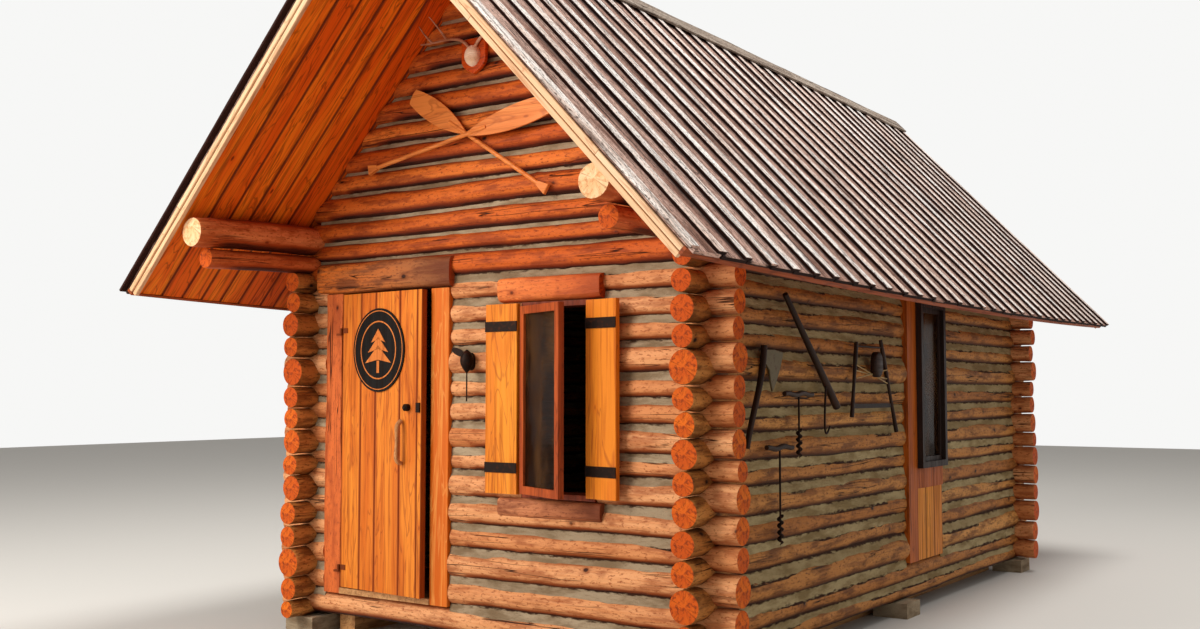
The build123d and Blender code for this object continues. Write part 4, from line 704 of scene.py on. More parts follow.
def gable_logs(y, seed):
    """Logs from the header's level up: two whole ones, then those that the roof slopes trim."""
    logs = full_end_logs(y, end_rows[gable_start : gable_start + FULL_LOGS_IN_GABLE], seed)
    for number, (z, size) in enumerate(end_rows[gable_start + FULL_LOGS_IN_GABLE :]):
        if z < ridge_pole_height:
            reach = min(half_width, (ridge_soffit - z) / slope)
            slant = 1 / slope if reach < half_width else 0.0
            logs.append(end_wall_log(y, z, size / 2, -reach, reach, seed + 20 + number, slant))
    return logs


def front_logs(low, high, seed):
    """Cut logs of the front wall between two places along it."""
    logs = []
    for number, (z, size) in enumerate(end_rows[1:gable_start]):
        left, right = -wall_reach + jitter(), wall_reach - jitter()
        for start, end in stretches(left, right, z, size / 2, [DOORWAY, WINDOW]):
            if low <= (start + end) / 2 < high:
                logs.append(end_wall_log(-half_length, z, size / 2, start, end, seed + number))
    return logs


wall_ends = [front_log_finish, orange_end_finish]
sill_rows = end_rows[:1]
piece("sill_log_peeled", full_end_logs(-half_length, sill_rows, 100), wall_ends, ["front_sill_log"])
piece("left_front_logs_peeled", front_logs(-9, DOOR_MIDDLE, 200), wall_ends, ["front_logs_left"])
piece("right_front_logs_peeled", front_logs(DOOR_MIDDLE, 9, 300), wall_ends, ["front_logs_right"])
piece(
    "gable_logs_peeled", gable_logs(-half_length, 400), [gable_log_finish, orange_end_finish],
    ["front_gable_logs"],
)
back_rows = full_end_logs(half_length, end_rows[:gable_start], 500) + gable_logs(half_length, 560)
piece("back_logs_peeled", back_rows, wall_ends, ["back_wall_logs"])

side_ends = [side_log_finish, orange_end_finish]
for side, name, node, openings in (
    (-1, "left_side_logs_peeled", "left_wall_logs", []),
    (1, "right_side_logs_peeled", "right_wall_logs", [SIDE_DOORWAY]),
):
    logs = []
    for number, (z, size) in enumerate(side_rows[: len(SIDE_DIAMETERS)]):
        for low, high in stretches(-side_reach + jitter(), side_reach - jitter(), z, size / 2, openings):
            # Painted shade under the eaves: the side logs darker the higher they lie
            eave_shade = 0.7 * (z / EAVE_SHADE_HEIGHT) ** 4
            seed = 600 + 50 * side + number
            logs.append(side_wall_log(side * half_width, z, size / 2, low, high, seed, 0.0, eave_shade))
    piece(name, logs, side_ends, [node])

# Mortar of the end walls and of the side walls
for y, name, openings in (
    (-half_length, "front_mortar_strips", [DOORWAY, WINDOW]),
    (half_length, "back_mortar_strips", []),
):
    strips = []
    for number, rows in enumerate(zip(end_rows, end_rows[1:])):
        middle = (rows[0][0] + rows[1][0]) / 2
        if rows[1][0] > ridge_pole_height - 0.03:
            continue
        reach = min(MORTAR_ENDS, (ridge_soffit - middle) / slope - 0.01)
        slant = 1 / slope if reach < MORTAR_ENDS else 0.0
        faces = GABLE_MORTAR if number >= gable_start else WALL_MORTAR
        for low, high in stretches(-reach, reach, middle, MORTAR_HALF, openings):
            start, seed = np.array([0, y, middle]), 2000 + number
            strips.append(mortar_strip(start, X_AXIS, Y_AXIS, rows, low, high, faces, seed, slant))
    piece(name, strips, [front_mortar_finish], ["end_chinking"])
strips = []
for side, openings in ((-1, []), (1, [SIDE_DOORWAY])):
    for number, rows in enumerate(zip(side_rows, side_rows[1 : len(SIDE_DIAMETERS) + 1])):
        middle = (rows[0][0] + rows[1][0]) / 2
        for low, high in stretches(-MORTAR_SIDES, MORTAR_SIDES, middle, MORTAR_HALF, openings):
            start, seed = np.array([side * half_width, 0, middle]), 2100 + 40 * side + number
            # Painted shade under the eaves: the side mortar darker the higher it lies
            eave_shade = 0.9 * (middle / EAVE_SHADE_HEIGHT) ** 4
            strips.append(mortar_strip(start, Y_AXIS, -X_AXIS, rows, low, high, SIDE_MORTAR, seed, 0.0, eave_shade))
piece("side_mortar_strips", strips, [side_mortar_finish], ["side_chinking"])

plates = []
for number, ((z, size), reach) in enumerate(zip(side_rows[len(SIDE_DIAMETERS) :], PLATE_LOG_REACH)):
    for side in (-1, 1):
        low, high = -half_length - reach + jitter(), half_length + reach - jitter()
        droop = PLATE_DROOP[0 if side < 0 else 1]
        plates.append(side_wall_log(side * half_width, z, size / 2, low, high, 700 + 2 * number + side, droop))
piece("lower_plate_logs_peeled", plates[:2], [plate_log_finish, orange_end_finish], ["plate_logs"])
piece("upper_plate_logs_peeled", plates[2:], [plate_log_finish, pale_end_finish], ["plate_logs"])
pole_front, pole_back = roof_front + RIDGE_POLE_SETBACK, roof_back - RIDGE_POLE_SETBACK
pole = side_wall_log(0, ridge_pole_height, RIDGE_POLE_DIAMETER / 2, pole_front, pole_back, 720)
piece("ridge_pole_peeled", [pole], [plate_log_finish, pale_end_finish], ["ridge_pole"])


JOINT_EDGES = np.array([1.0, 1.0, 1.0, 0.0, 1.0, 1.0, 1.0, 1.0, 0.0, 1.0])


def board(
    start, along, across, up, length, width, thickness, seed, waney=0.0, cup=0.0, dirt_and_shade=0.0, steps=0.2
):
    """A sawn board: a rectangle with soft corners carried along, its edges wavy by waney metres.

    Across the board the top rises by cup metres at its edges. Width is centred on the start.
    The darkening, dark joints or painted shade, is one number, or one for each of the ten points of the
    outline.
    """
    draw = np.random.default_rng(seed)
    rings = max(3, int(length / steps) + 1)
    s = np.linspace(0, length, rings)[:, None]
    soft = min(0.003, thickness / 4)
    half = width / 2
    a = np.array([[half, half, half - soft, 0, -half + soft, -half, -half, -half + soft, 0, half - soft]])
    b = np.array([[soft, thickness - soft, thickness, thickness, thickness, thickness - soft, soft, 0, 0, 0]])
    right = waves(s, 0, seed, (1.7, 0.61, 0.23), waney)
    left = waves(s, 0, seed + 5, (1.5, 0.57, 0.27), waney)
    a = a + np.where(a > 0, right, 0) + np.where(a < 0, left, 0)
    b = b + cup * (a / half) ** 2 + 0 * s
    return bar(start, along, across, up, s, a, b, draw.uniform(0, 1), np.broadcast_to(dirt_and_shade, a.shape))


# Roof: boards with battens over their joints, lining boards under them, and the edge boards
batten_span = roof_back - roof_front - BATTEN_WIDTH
batten_gaps = round(batten_span / BATTEN_SPACING)
batten_step = batten_span / batten_gaps
roof_boards, battens, lining, rakes, eaves, cap_boards = [], [], [], [], [], []
draw = np.random.default_rng(40)
for side in (-1, 1):
    out = np.array([side * pitch_fall, 0, pitch_run])
    down = np.array([side * pitch_run, 0, -pitch_fall])
    across = side * Y_AXIS
    ridge = np.array([0, 0, ridge_soffit])
    begin = 0.002 - BOARD_BOTTOM * slope
    for number in range(batten_gaps):
        y = roof_front + BATTEN_WIDTH / 2 + (number + 0.5) * batten_step
        length = eave_down + eave_bow(y) - begin - draw.uniform(0.001, 0.012)
        place = ridge + begin * down + BOARD_BOTTOM * out + y * Y_AXIS
        # Painted shade: dark on the flanks and underneath, fading across the top to none at its middle; half as
        # strong on the front board
        rim = np.array([1.0, 1.0, 0.95, 0.0, 0.95, 1.0, 1.0, 1.0, 1.0, 1.0])
        rim = rim * (0.5 if number == 0 else 1.0)
        roof_boards.append(
            board(place, down, across, out, length, batten_step - 0.004, BOARD_THICKNESS,
                  800 + number + 100 * side, 0.0, 0.0, rim, 0.3)
        )
    for number in range(batten_gaps + 1):
        y = roof_front + BATTEN_WIDTH / 2 + number * batten_step
        width = BATTEN_WIDTH * (0.9 if number in (0, batten_gaps) else draw.uniform(0.84, 1.0))
        length = eave_down + eave_bow(y) - begin - draw.uniform(0.0, 0.014)
        place = ridge + begin * down + (BOARD_BOTTOM + BOARD_THICKNESS) * out + y * Y_AXIS
        # Painted shade: dark on the batten's sides and underneath, little on its top; half as strong on the
        # front batten of the right slope
        rim = np.array([1.0, 0.8, 0.1, 0.0, 0.1, 0.8, 1.0, 1.0, 1.0, 1.0])
        rim = rim * (0.5 if number == 0 and side > 0 else 1.0)
        battens.append(
            board(place, down, across, out, length, width, BATTEN_THICKNESS - 0.002, 900 + number + 100 * side,
                  0.003 if 0 < number < batten_gaps else 0.001, 0.0, rim, 0.09)
        )

    soffit_front, soffit_back = rake_front + RAKE_THICKNESS, rake_back - RAKE_THICKNESS
    edges = [soffit_front]
    while edges[-1] < soffit_back - WIDEST_SOFFIT_BOARD:
        edges.append(edges[-1] + SOFFIT_BOARD_WIDTH * draw.choice([0.72, 0.95, 1.18]))
    edges.append(soffit_back)
    for number, (front, back) in enumerate(zip(edges, edges[1:])):
        y = (front + back) / 2
        place = ridge + 0.002 * down + y * Y_AXIS + draw.uniform(0.0, 0.003) * out
        lining.append(
            board(place, down, across, out, eave_board_down + eave_bow(y) - 0.003, back - front - 0.004,
                  SOFFIT_THICKNESS - 0.003, 1000 + number + 100 * side, 0.0006, 0.0, JOINT_EDGES, 0.5)
        )

    for end, inward in ((rake_front, 1), (rake_back, -1)):
        for number, (recess, joint) in enumerate(zip(RAKE_RECESSES, RAKE_JOINTS)):
            low = RAKE_TOP - number * (RAKE_STRIP + SEAT) - RAKE_STRIP + 0.003
            y = end + inward * (recess + RAKE_THICKNESS) / 2
            first = 0.002 - low * slope
            for part, (near, far) in enumerate(((first, joint), (joint + 0.003, eave_board_down - 0.001))):
                place = ridge + near * down + low * out + y * Y_AXIS
                seed = 1200 + 10 * number + part + 100 * side + (30 if inward < 0 else 0)
                rakes.append(
                    board(place, down, across, out, far - near, RAKE_THICKNESS - recess,
                          RAKE_STRIP - 0.004 - 0.003 * part, seed, 0.0, 0.0, 0.0, 0.5)
                )

    # edge boards that follow the bowed eave, and the cap along the ridge, carried along the cabin
    s = np.linspace(0, rake_back - rake_front, 40)[:, None]
    y = (rake_back + rake_front) / 2 - side * (s - (rake_back - rake_front) / 2)
    start = ridge + ((rake_back + rake_front) / 2 + side * (rake_back - rake_front) / 2) * Y_AXIS
    inner = eave_board_down + eave_bow(y)
    a = inner + np.array([[EAVE_BOARD_THICKNESS, EAVE_BOARD_THICKNESS, 0, 0]])
    b = RAKE_TOP + np.array([[-EAVE_BOARD_HEIGHT, 0, 0, -EAVE_BOARD_HEIGHT]]) + 0 * s
    eaves.append(bar(start, -side * Y_AXIS, down, out, s, a, b, 0.5))
    lap = RIDGE_CAP_THICKNESS if side < 0 else 0.0
    cap_top = CAP_GAP - CAP_BOTTOM * slope - lap
    length = (roof_back - roof_front) / CAP_BOARDS
    for number in range(CAP_BOARDS):
        near = side * (roof_back if side > 0 else -roof_front) - side * number * length
        place = ridge + (cap_top + (RIDGE_CAP_WIDTH + lap) / 2) * down + CAP_BOTTOM * out + near * Y_AXIS
        cap_boards.append(
            board(place, -side * Y_AXIS, down, out, length - 0.004, RIDGE_CAP_WIDTH + lap - 0.004,
                  RIDGE_CAP_THICKNESS - 0.003, 1300 + number + 10 * side, 0.002, 0.0, 0.0, 0.15)
        )
piece("roof_boards_weathered", roof_boards, [roof_finish], ["roof_boards"])
piece("roof_battens_weathered", battens, [batten_finish, roof_finish], ["roof_boards"])
piece("soffit_lining", lining, [soffit_finish], ["soffit_boards"])
piece("rake_strips", rakes, [rake_finish], ["rake_boards"])
piece("eave_boards_bowed", eaves, [eave_board_finish], ["eave_boards"])
piece("ridge_cap_boards", cap_boards, [cap_finish], ["ridge_cap"])


# Doorway and window surrounds
def hewn_slab(name, finish, node, wobble, seed):
    """A log hewn to a slab: a rounded rectangle along X whose sides swell in long and short waves."""
    low, high = (np.array(corner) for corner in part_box(node))
    middle, half = (low + high) / 2, (high - low) / 2
    length = high[0] - low[0]
    share = np.unique(np.concatenate([[0, 0.006, 0.994, 1], np.linspace(0, 1, 40)]))[:, None]
    turn = np.linspace(0, 2 * np.pi, 40, endpoint=False)[None, :]
    power = 0.45
    shrink = 1 - 0.03 * np.exp(-np.minimum(share, 1 - share) * length / 0.006)
    swell = (0.965 + waves(share * length, turn, seed, (0.9, 0.37, 0.16), wobble)) * shrink
    a = half[1] * np.sign(np.cos(turn)) * np.abs(np.cos(turn)) ** power * swell
    b = half[2] * np.sign(np.sin(turn)) * np.abs(np.sin(turn)) ** power * swell
    start = np.array([low[0], middle[1], middle[2]])
    # Painted shade on the underside; the marks and the tone both grow darker towards the far end
    dirt_and_shade = 0.25 * (np.sin(turn) < -0.8) + 0.45 * np.clip((share - 0.55) / 0.4, 0, 1) ** 2
    slab = bar(start, X_AXIS, Y_AXIS, Z_AXIS, share * length, a, b, 1.2 * share + 0 * turn, dirt_and_shade)
    piece(name, [slab], finish, [node], sharp=50)


hewn_slab("door_header_hewn", [header_finish, rough_jamb_finish], "door_header", 0.030, 61)
hewn_slab("window_header_hewn", [rough_jamb_finish, orange_end_finish], "window_header", 0.024, 62)
hewn_slab("window_sill_hewn", [sill_finish], "window_sill", 0.035, 63)

low, high = (np.array(corner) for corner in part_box("door_jambs"))
jambs = []
for middle, waney in ((low[0] + JAMB_WIDTH / 2, 0.004), (high[0] - JAMB_WIDTH / 2, 0.001)):
    place = np.array([middle, high[1], high[2]])
    jambs.append(
        board(place, -Z_AXIS, X_AXIS, -Y_AXIS, high[2] - low[2], JAMB_WIDTH - 0.004, high[1] - low[1] - 0.002,
              70 + int(waney * 1000), waney, -waney, 0.0, 0.06)
    )
piece("left_jamb_hewn", jambs[:1], [rough_jamb_finish], ["door_jambs"])
piece("right_jamb_smooth", jambs[1:], [smooth_jamb_finish], ["door_jambs"])

# Door leaf: upright planks, a bent branch for a pull, and an oval sign with a plain motif
AJAR = np.radians(5)
HINGE = np.array([-1.214, -2.896, 0])
leaf_across = np.array([np.cos(AJAR), -np.sin(AJAR), 0])
leaf_out = np.array([-np.sin(AJAR), -np.cos(AJAR), 0])
PLANK_EDGES = [0.004, 0.198, 0.345, 0.585, 0.752, 0.794]
LEAF_BACK, LEAF_FACE = -0.056, -0.011
LEAF_BOTTOM, LEAF_TOP = 0.3314, 2.285


def on_leaf(along, out, height):
    """A place on the door: along the leaf from its hinge, outward and up."""
    return HINGE + along * leaf_across + out * leaf_out + height * Z_AXIS


planks = [
    board(on_leaf((left + right) / 2, LEAF_BACK, LEAF_TOP), -Z_AXIS, leaf_across, leaf_out,
          LEAF_TOP - LEAF_BOTTOM, right - left - 0.003, LEAF_FACE - LEAF_BACK, 1400 + number,
          0.0004, 0.0, JOINT_EDGES, 0.25)
    for number, (left, right) in enumerate(zip(PLANK_EDGES, PLANK_EDGES[1:]))
]
piece("door_planks", planks, [door_finish], ["door_leaf"], "door")
PULL_ALONG = 0.618
PULL_BENDS = ((0.002, 1.172), (0.032, 1.19), (0.038, 1.30), (0.030, 1.42), (0.002, 1.442))
pull_path = bend([on_leaf(PULL_ALONG, out, z) for out, z in PULL_BENDS])
branch = tube(pull_path, 0.0145 + 0.002 * np.sin(np.linspace(0, 9, 24)), 12, 0.4, 0.9, leaf_across)
piece("branch_pull", [branch], [branch_finish], ["door_pull"], "door")

SIGN_MIDDLE = (0.382, 1.904)
SIGN_FACE = -0.0007
RING_SIZES = ((0.172, 0.188, 0.0045), (0.236, 0.258, 0.003))
TREE_TIERS = ((0.128, -0.085, 0.115), (0.100, -0.015, 0.105), (0.070, 0.050, 0.090))
TREE_TRUNK = ((0.012, -0.150), (0.012, -0.07), (-0.012, -0.07), (-0.012, -0.150))
TREE_THICKNESS = 0.003


def on_sign(x, z, out):
    """Places on the sign from its middle, as an array of points."""
    x, z, out = np.broadcast_arrays(x, z, out)
    middle = on_leaf(SIGN_MIDDLE[0], 0.0, SIGN_MIDDLE[1])
    return middle + x[..., None] * leaf_across + z[..., None] * Z_AXIS + out[..., None] * leaf_out


turn = np.linspace(0, 2 * np.pi, 96, endpoint=False)
rings = [
    tube(on_sign(wide * np.cos(turn), tall * np.sin(turn), SIGN_FACE), thick, 8, 0.5, 0.35, leaf_out, True)
    for wide, tall, thick in RING_SIZES
]
outlines = [
    ((half, foot), (0.0, foot + tall), (-half, foot), (0.0, foot + 0.022)) for half, foot, tall in TREE_TIERS
]
depth = np.array([[-TREE_THICKNESS], [0.0]])
tiers = []
for outline in [*outlines, TREE_TRUNK]:
    shape = np.array([outline] * 2)
    place = on_sign(0, 0, SIGN_FACE - 0.001)
    tiers.append(bar(place, -leaf_out, -leaf_across, Z_AXIS, depth, shape[..., 0], shape[..., 1], 0.5))
piece("sign_rings", rings, [motif_finish], (), "door")
piece("sign_tree", tiers, [motif_finish], (), "door")

# Shutters: one wide board each, the right one swung a little off the wall
SHUTTER_TOP, SHUTTER_TALL, SHUTTER_THICKNESS = 2.165, 1.150, 0.034
shutters = []
for hinge, swing, width, seed in (
    (np.array([0.076, -2.8879, 0]), 0.0, 0.246, 1501),
    (np.array([0.832, -2.8844, 0]), np.radians(8), 0.238, 1502),
):
    u = np.array([np.cos(swing), -np.sin(swing), 0])
    o = np.array([-np.sin(swing), -np.cos(swing), 0])
    place = hinge + width / 2 * u + SHUTTER_TOP * Z_AXIS
    shutters.append(
        board(place, -Z_AXIS, u, o, SHUTTER_TALL, width - 0.001, SHUTTER_THICKNESS, seed, 0.0004, 0.0, 0.0, 0.2)
    )
piece("shutter_boards", shutters, [shutter_finish], ["shutters"])

# Panel of the closed side doorway: upright planks under the rail
low, high = (np.array(corner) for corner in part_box("side_panel"))
PANEL_TOP, RAIL_BOTTOM, PANEL_FACE = 0.910, 0.9104, 1.638
plank_edges = np.linspace(low[1], high[1], 4)
panel = [
    board(np.array([low[0], (a + b) / 2, low[2]]), Z_AXIS, Y_AXIS, X_AXIS, PANEL_TOP - low[2], b - a - 0.003,
          PANEL_FACE - low[0], 1600 + number, 0.0004, 0.0, JOINT_EDGES, 0.2)
    for number, (a, b) in enumerate(zip(plank_edges, plank_edges[1:]))
]
place = np.array([low[0], low[1], (RAIL_BOTTOM + high[2]) / 2])
rail = board(place, Y_AXIS, Z_AXIS, X_AXIS, high[1] - low[1], high[2] - RAIL_BOTTOM, high[0] - low[0],
             1610, 0.002, 0.0, 0.0, 0.05)
piece("side_panel_planks", panel, [side_panel_finish], ["side_panel"])
piece("side_rail", [rail], [post_finish], ["side_panel"])

# Plaque in the gable: a varnished shield, a leather cap and two antlers
low, high = (np.array(corner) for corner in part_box("gable_plaque"))
plaque_middle = np.array([-0.057, high[1] - 0.001, 3.750])
edge = np.linspace(0, 1, 14)
SHIELD_HALF, SHIELD_TOP, SHOULDER, POINT_TALL, CHEEK_POWER = 0.1, 0.115, -0.020, 0.095, 2.17
fall, climb = edge[1:], edge[-2:0:-1]
shield_x = np.concatenate([
    [SHIELD_HALF] * 2, SHIELD_HALF * (1 - fall**CHEEK_POWER), -SHIELD_HALF * (1 - climb**CHEEK_POWER),
    [-SHIELD_HALF] * 2,
])
shield_z = np.concatenate([
    [SHIELD_TOP, SHOULDER], SHOULDER - POINT_TALL * fall, SHOULDER - POINT_TALL * climb, [SHOULDER, SHIELD_TOP],
])
s = np.array([[0.0], [0.018], [0.023], [0.024]])
scale = np.array([[1.0], [1.0], [0.96], [0.90]])
shield = bar(plaque_middle, -Y_AXIS, -X_AXIS, Z_AXIS, s, scale * shield_x, scale * shield_z, 0.4)
rise = np.linspace(0, 0.5 * np.pi * 0.97, 9)[:, None]
turn = np.linspace(0, 2 * np.pi, 28, endpoint=False)[None, :]
dome = bar(
    plaque_middle, -Y_AXIS, X_AXIS, -Z_AXIS, 0.022 + 0.046 * np.sin(rise) ** 0.9,
    0.058 * np.cos(rise) ** 0.7 * np.cos(turn), 0.068 * np.cos(rise) ** 0.7 * np.sin(turn), 0.1,
)
piece("plaque_shield", [shield], [shield_finish], ["gable_plaque"])
piece("plaque_cap", [dome], [hide_finish], ["gable_plaque"], sharp=80)
ANTLER_BEAM = [(0.020, 0.034, 0.046), (0.150, 0.060, 0.122), (0.262, 0.115, 0.102), (0.318, 0.165, 0.088)]
ANTLER_TINES = [[(0.180, 0.072, 0.120), (0.214, 0.112, 0.190), (0.262, 0.150, 0.264)],
                [(0.262, 0.115, 0.102), (0.300, 0.140, 0.150), (0.338, 0.160, 0.212)]]
antlers = []
for side in (-1, 1):
    for points, thick, thin in (
        (ANTLER_BEAM, 0.011, 0.005), (ANTLER_TINES[0], 0.009, 0.003), (ANTLER_TINES[1], 0.008, 0.003)
    ):
        places = [plaque_middle + np.array([side * x, -out, z]) for x, out, z in points]
        antlers.append(tube(bend(places, 20), np.linspace(thick, thin, 20), 10, 0.5, 1.0, Y_AXIS))
piece("antlers", antlers, [antler_finish], ["gable_plaque"], sharp=80)

# Tools on the right wall, each a little off the logs
WALL_FACE = 1.648
AUGER_OUT = 0.022
AUGER_TURNS = 4.5
AUGER_BIT = 0.176
AUGERS = ((-1.848, 1.507, 1.115, 0.390), (-2.112, 1.190, 0.615, 0.340))
AXE_HANDLE = ((-2.292, 1.792), (-2.322, 1.640), (-2.398, 1.462), (-2.512, 1.200))
HOOK = ((-1.472, 1.585), (-1.486, 1.42), (-1.470, 1.255), (-1.415, 1.300))
SAW_POSTS = (((-0.937, 1.856), (-1.027, 1.352)), ((-0.514, 1.880), (-0.240, 1.236)))
SAW_OUT = 0.014
SAW_CORDS = ((1.664, 1.612, 0.0), (1.612, 1.676, 0.007), (1.70, 1.58, 0.004))


def at_wall(out, y, z):
    """A place on the right wall: outward from the faces of the logs, along and up from the wall's foot."""
    return np.array([WALL_FACE + out, y, z + BASE_HEIGHT])


def auger(y, height, foot, handle, bit):
    """A T auger: a round cross handle, a straight shank and a bit that winds like a corkscrew."""
    spread = np.linspace(-handle / 2, handle / 2, 12)
    grip = [at_wall(AUGER_OUT, y + t, height + 0.006 * np.sin(30 * t)) for t in spread]
    across = tube(grip, 0.017 * (0.78 + 0.22 * np.cos(np.linspace(-1.3, 1.3, 12))), 12, 0.4)
    line = [at_wall(AUGER_OUT, y, z) for z in np.linspace(height, foot + 0.02, 8)]
    shank = tube(line, 0.0065, 8, 0.4, 1.0, Y_AXIS)
    wind = np.linspace(0, 1, 90)
    angle = 2 * np.pi * AUGER_TURNS * wind
    reach = 0.0125 * np.minimum(1, (1 - wind) * 9 + 0.05)
    spiral = np.array([WALL_FACE + AUGER_OUT, y, foot + BASE_HEIGHT]) + np.stack(
        [reach * np.cos(angle), reach * np.sin(angle), (1 - wind) * bit], 1
    )
    flight = tube(spiral, 0.0085 * np.minimum(1, (1 - wind) * 6 + 0.15), 8, 0.4, 1.0, Y_AXIS)
    return [across], [shank, flight]


wooden, forged = [], []
for y, height, foot, handle in AUGERS:
    grip, metal = auger(y, height, foot, handle, AUGER_BIT)
    wooden += grip
    forged += metal
axe_handle = bend([at_wall(0.016, y, z) for y, z in AXE_HANDLE])
wooden.append(tube(axe_handle, np.linspace(0.016, 0.0135, 24), 12, 0.4, 1.3, X_AXIS))
hook_pole = np.linspace(at_wall(0.027, -2.033, 2.108), at_wall(0.027, -1.298, 1.423), 16)
wooden.append(tube(hook_pole, np.linspace(0.017, 0.026, 16), 14, 0.4, 1.0, X_AXIS))
hook = bend([at_wall(0.030, y, z) for y, z in HOOK], 20)
forged.append(tube(hook, np.linspace(0.008, 0.006, 20), 8, 0.4, 1.0, X_AXIS))
for top, foot in SAW_POSTS:
    post = np.linspace(at_wall(SAW_OUT, *top), at_wall(SAW_OUT, *foot), 14)
    wooden.append(tube(post, 0.013 + 0.002 * np.sin(np.linspace(0, 8, 14)), 10, 0.4, 1.0, X_AXIS))
wooden.append(tube([at_wall(SAW_OUT, y, 1.829) for y in np.linspace(-0.932, -0.530, 8)], 0.008, 8, 0.4))
forged.append(
    bar(at_wall(SAW_OUT, -1.010, 1.424), Y_AXIS, -X_AXIS, Z_AXIS, np.linspace(0, 0.69, 3)[:, None],
        np.array([[0.0015, 0.0015, -0.0015, -0.0015]] * 3), np.array([[-0.015, 0.015, 0.015, -0.015]] * 3), 0.4)
)
cords = []
for high_z, low_z, lift in SAW_CORDS:
    strand = np.linspace(at_wall(0.022 + lift, -0.965, high_z), at_wall(0.022 + lift, -0.430, low_z), 24)
    cords.append(tube(strand, 0.0042, 6, 0.4, 1.0, X_AXIS))
turn = np.linspace(0, 2 * np.pi, 26, endpoint=False)[None, :]
s = np.array([[0.0], [0.006], [0.040], [0.048]])
scale = np.array([[0.86], [1.0], [1.0], [0.86]])
a = 0.064 * np.sign(np.cos(turn)) * np.abs(np.cos(turn)) ** 0.8 * scale
b = 0.088 * np.sign(np.sin(turn)) * np.abs(np.sin(turn)) ** 0.8 * scale
wooden.append(bar(at_wall(0.018, -0.655, 1.708), X_AXIS, Y_AXIS, Z_AXIS, s, a, b, 0.4))
blade = np.array([
    (-2.285, 1.768), (-2.170, 1.772), (-2.052, 1.757), (-2.080, 1.690), (-2.112, 1.632), (-2.155, 1.570),
    (-2.197, 1.522), (-2.222, 1.585), (-2.232, 1.645), (-2.285, 1.688),
])[::-1]
centre = blade.mean(0)
s = np.array([[0.0], [0.004], [0.009], [0.013]])
scale = np.array([[0.97], [1.0], [1.0], [0.97]])
a = (blade[:, 0] - centre[0])[None, :] * scale
b = (blade[:, 1] - centre[1])[None, :] * scale
head = bar(at_wall(0.010, centre[0], centre[1]), X_AXIS, Y_AXIS, Z_AXIS, s, a, b, 0.4)
piece("tool_handles", wooden, [handle_finish], ["hand_tools"], sharp=60)
piece("tool_irons", forged, [iron_finish], ["hand_tools"], sharp=60)
piece("axe_head", [head], [blade_finish], ["hand_tools"])
piece("saw_cords", cords, [cord_finish], ["hand_tools"], sharp=80)

# Finishes on pieces whose construction shape is right
for name, finish in {
    "foundation_blocks": block_finish,
    "floor_beams": plain_board_finish,
    "floor_deck": plain_board_finish,
    "door_threshold": plain_board_finish,
    "door_ledges": motif_finish,
    "door_hinge_pins": rusty_finish,
    "door_hinge_straps": rusty_finish,
    "door_latch": iron_finish,
    "door_sign": black_paint_finish,
    "roof_strapping": plain_board_finish,
    "shutter_straps": iron_finish,
    "side_post": post_finish,
    "side_window_frame": dark_frame_finish,
    "side_window_sash": dark_frame_finish,
    "window_frame": frame_finish,
    "window_sash": sash_finish,
    "crossed_paddles": paddle_finish,
    "window_panes": pane_finish,
    "wall_ornament": iron_finish,
}.items():
    nodes[name].data.materials.clear()
    nodes[name].data.materials.append(finish)

# Floor, light and camera
FLOOR_SIZE = 60.0
bpy.ops.mesh.primitive_plane_add(size=FLOOR_SIZE, location=(0, 0, 0))
floor = bpy.context.object
floor.name = "floor"
floor.data.materials.append(Finish("pale_floor", (206, 203, 198), 0.9).done())

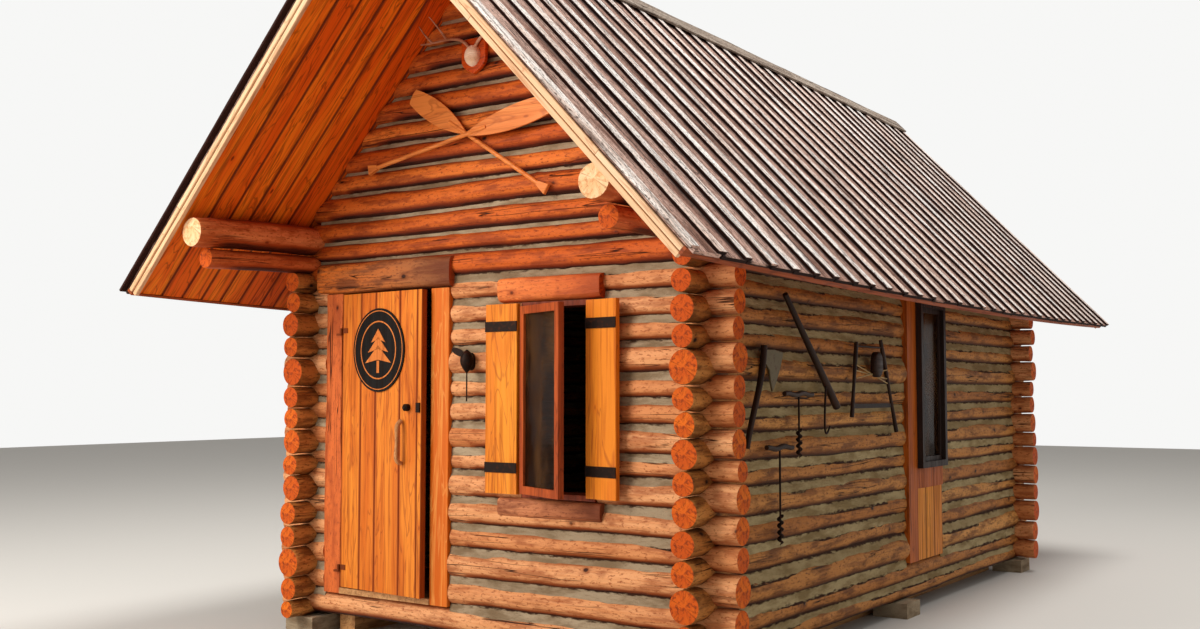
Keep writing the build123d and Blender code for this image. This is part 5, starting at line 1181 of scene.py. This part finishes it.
world = bpy.data.worlds.new("soft_room")
bpy.context.scene.world = world
world.use_nodes = True
sky = world.node_tree
background = sky.nodes["Background"]
background.inputs["Color"].default_value = (1.0, 0.97, 0.93, 1.0)
background.inputs["Strength"].default_value = 0.38
backdrop = sky.nodes.new("ShaderNodeBackground")
backdrop.inputs["Color"].default_value = (0.93, 0.93, 0.92, 1.0)
path = sky.nodes.new("ShaderNodeLightPath")
choice = sky.nodes.new("ShaderNodeMixShader")
seen = sky.nodes.new("ShaderNodeMath")
seen.operation = "MAXIMUM"
sky.links.new(path.outputs["Is Camera Ray"], seen.inputs[0])
sky.links.new(path.outputs["Is Glossy Ray"], seen.inputs[1])
seen_through = sky.nodes.new("ShaderNodeMath")
seen_through.operation = "MAXIMUM"
sky.links.new(seen.outputs[0], seen_through.inputs[0])
sky.links.new(path.outputs["Is Transmission Ray"], seen_through.inputs[1])
sky.links.new(seen_through.outputs[0], choice.inputs[0])
sky.links.new(background.outputs[0], choice.inputs[1])
sky.links.new(backdrop.outputs[0], choice.inputs[2])
sky.links.new(choice.outputs[0], sky.nodes["World Output"].inputs[0])


def lamp(name, place, target, size, energy, colour):
    """A square soft light that faces a target."""
    light = bpy.data.lights.new(name, "AREA")
    light.size = size
    light.energy = energy
    light.color = colour
    holder = bpy.data.objects.new(name, light)
    holder.location = place
    aim = Matrix.Translation(target).translation - holder.location
    holder.rotation_euler = aim.to_track_quat("-Z", "Y").to_euler()
    bpy.context.scene.collection.objects.link(holder)


lamp("front_light", (-5.0, -13.0, 8.5), (0, 0, 1.8), 5.0, 1230, (1.0, 0.97, 0.92))
lamp("low_light", (-4.0, -11.0, 2.0), (-0.8, -3.2, 3.4), 5.0, 330, (1.0, 0.96, 0.90))
lamp("roof_light", (4.0, 1.0, 16.0), (1.2, 0, 3.0), 6.0, 2000, (1.0, 0.98, 0.95))

CAMERA_PLACE = (5.02637, -8.83959, 1.632)
CAMERA_PITCH = 3.531
CAMERA_TURN = 34.671
LENS = 37.454
SENSOR = 36.0
camera_data = bpy.data.cameras.new("camera")
camera_data.lens = LENS
camera_data.sensor_width = SENSOR
camera = bpy.data.objects.new("camera", camera_data)
camera.location = CAMERA_PLACE
camera.rotation_euler = Euler((np.radians(90 + CAMERA_PITCH), 0, np.radians(CAMERA_TURN)))
bpy.context.scene.collection.objects.link(camera)
bpy.context.scene.camera = camera
bpy.context.scene.view_settings.view_transform = "Standard"

bpy.context.view_layer.update()
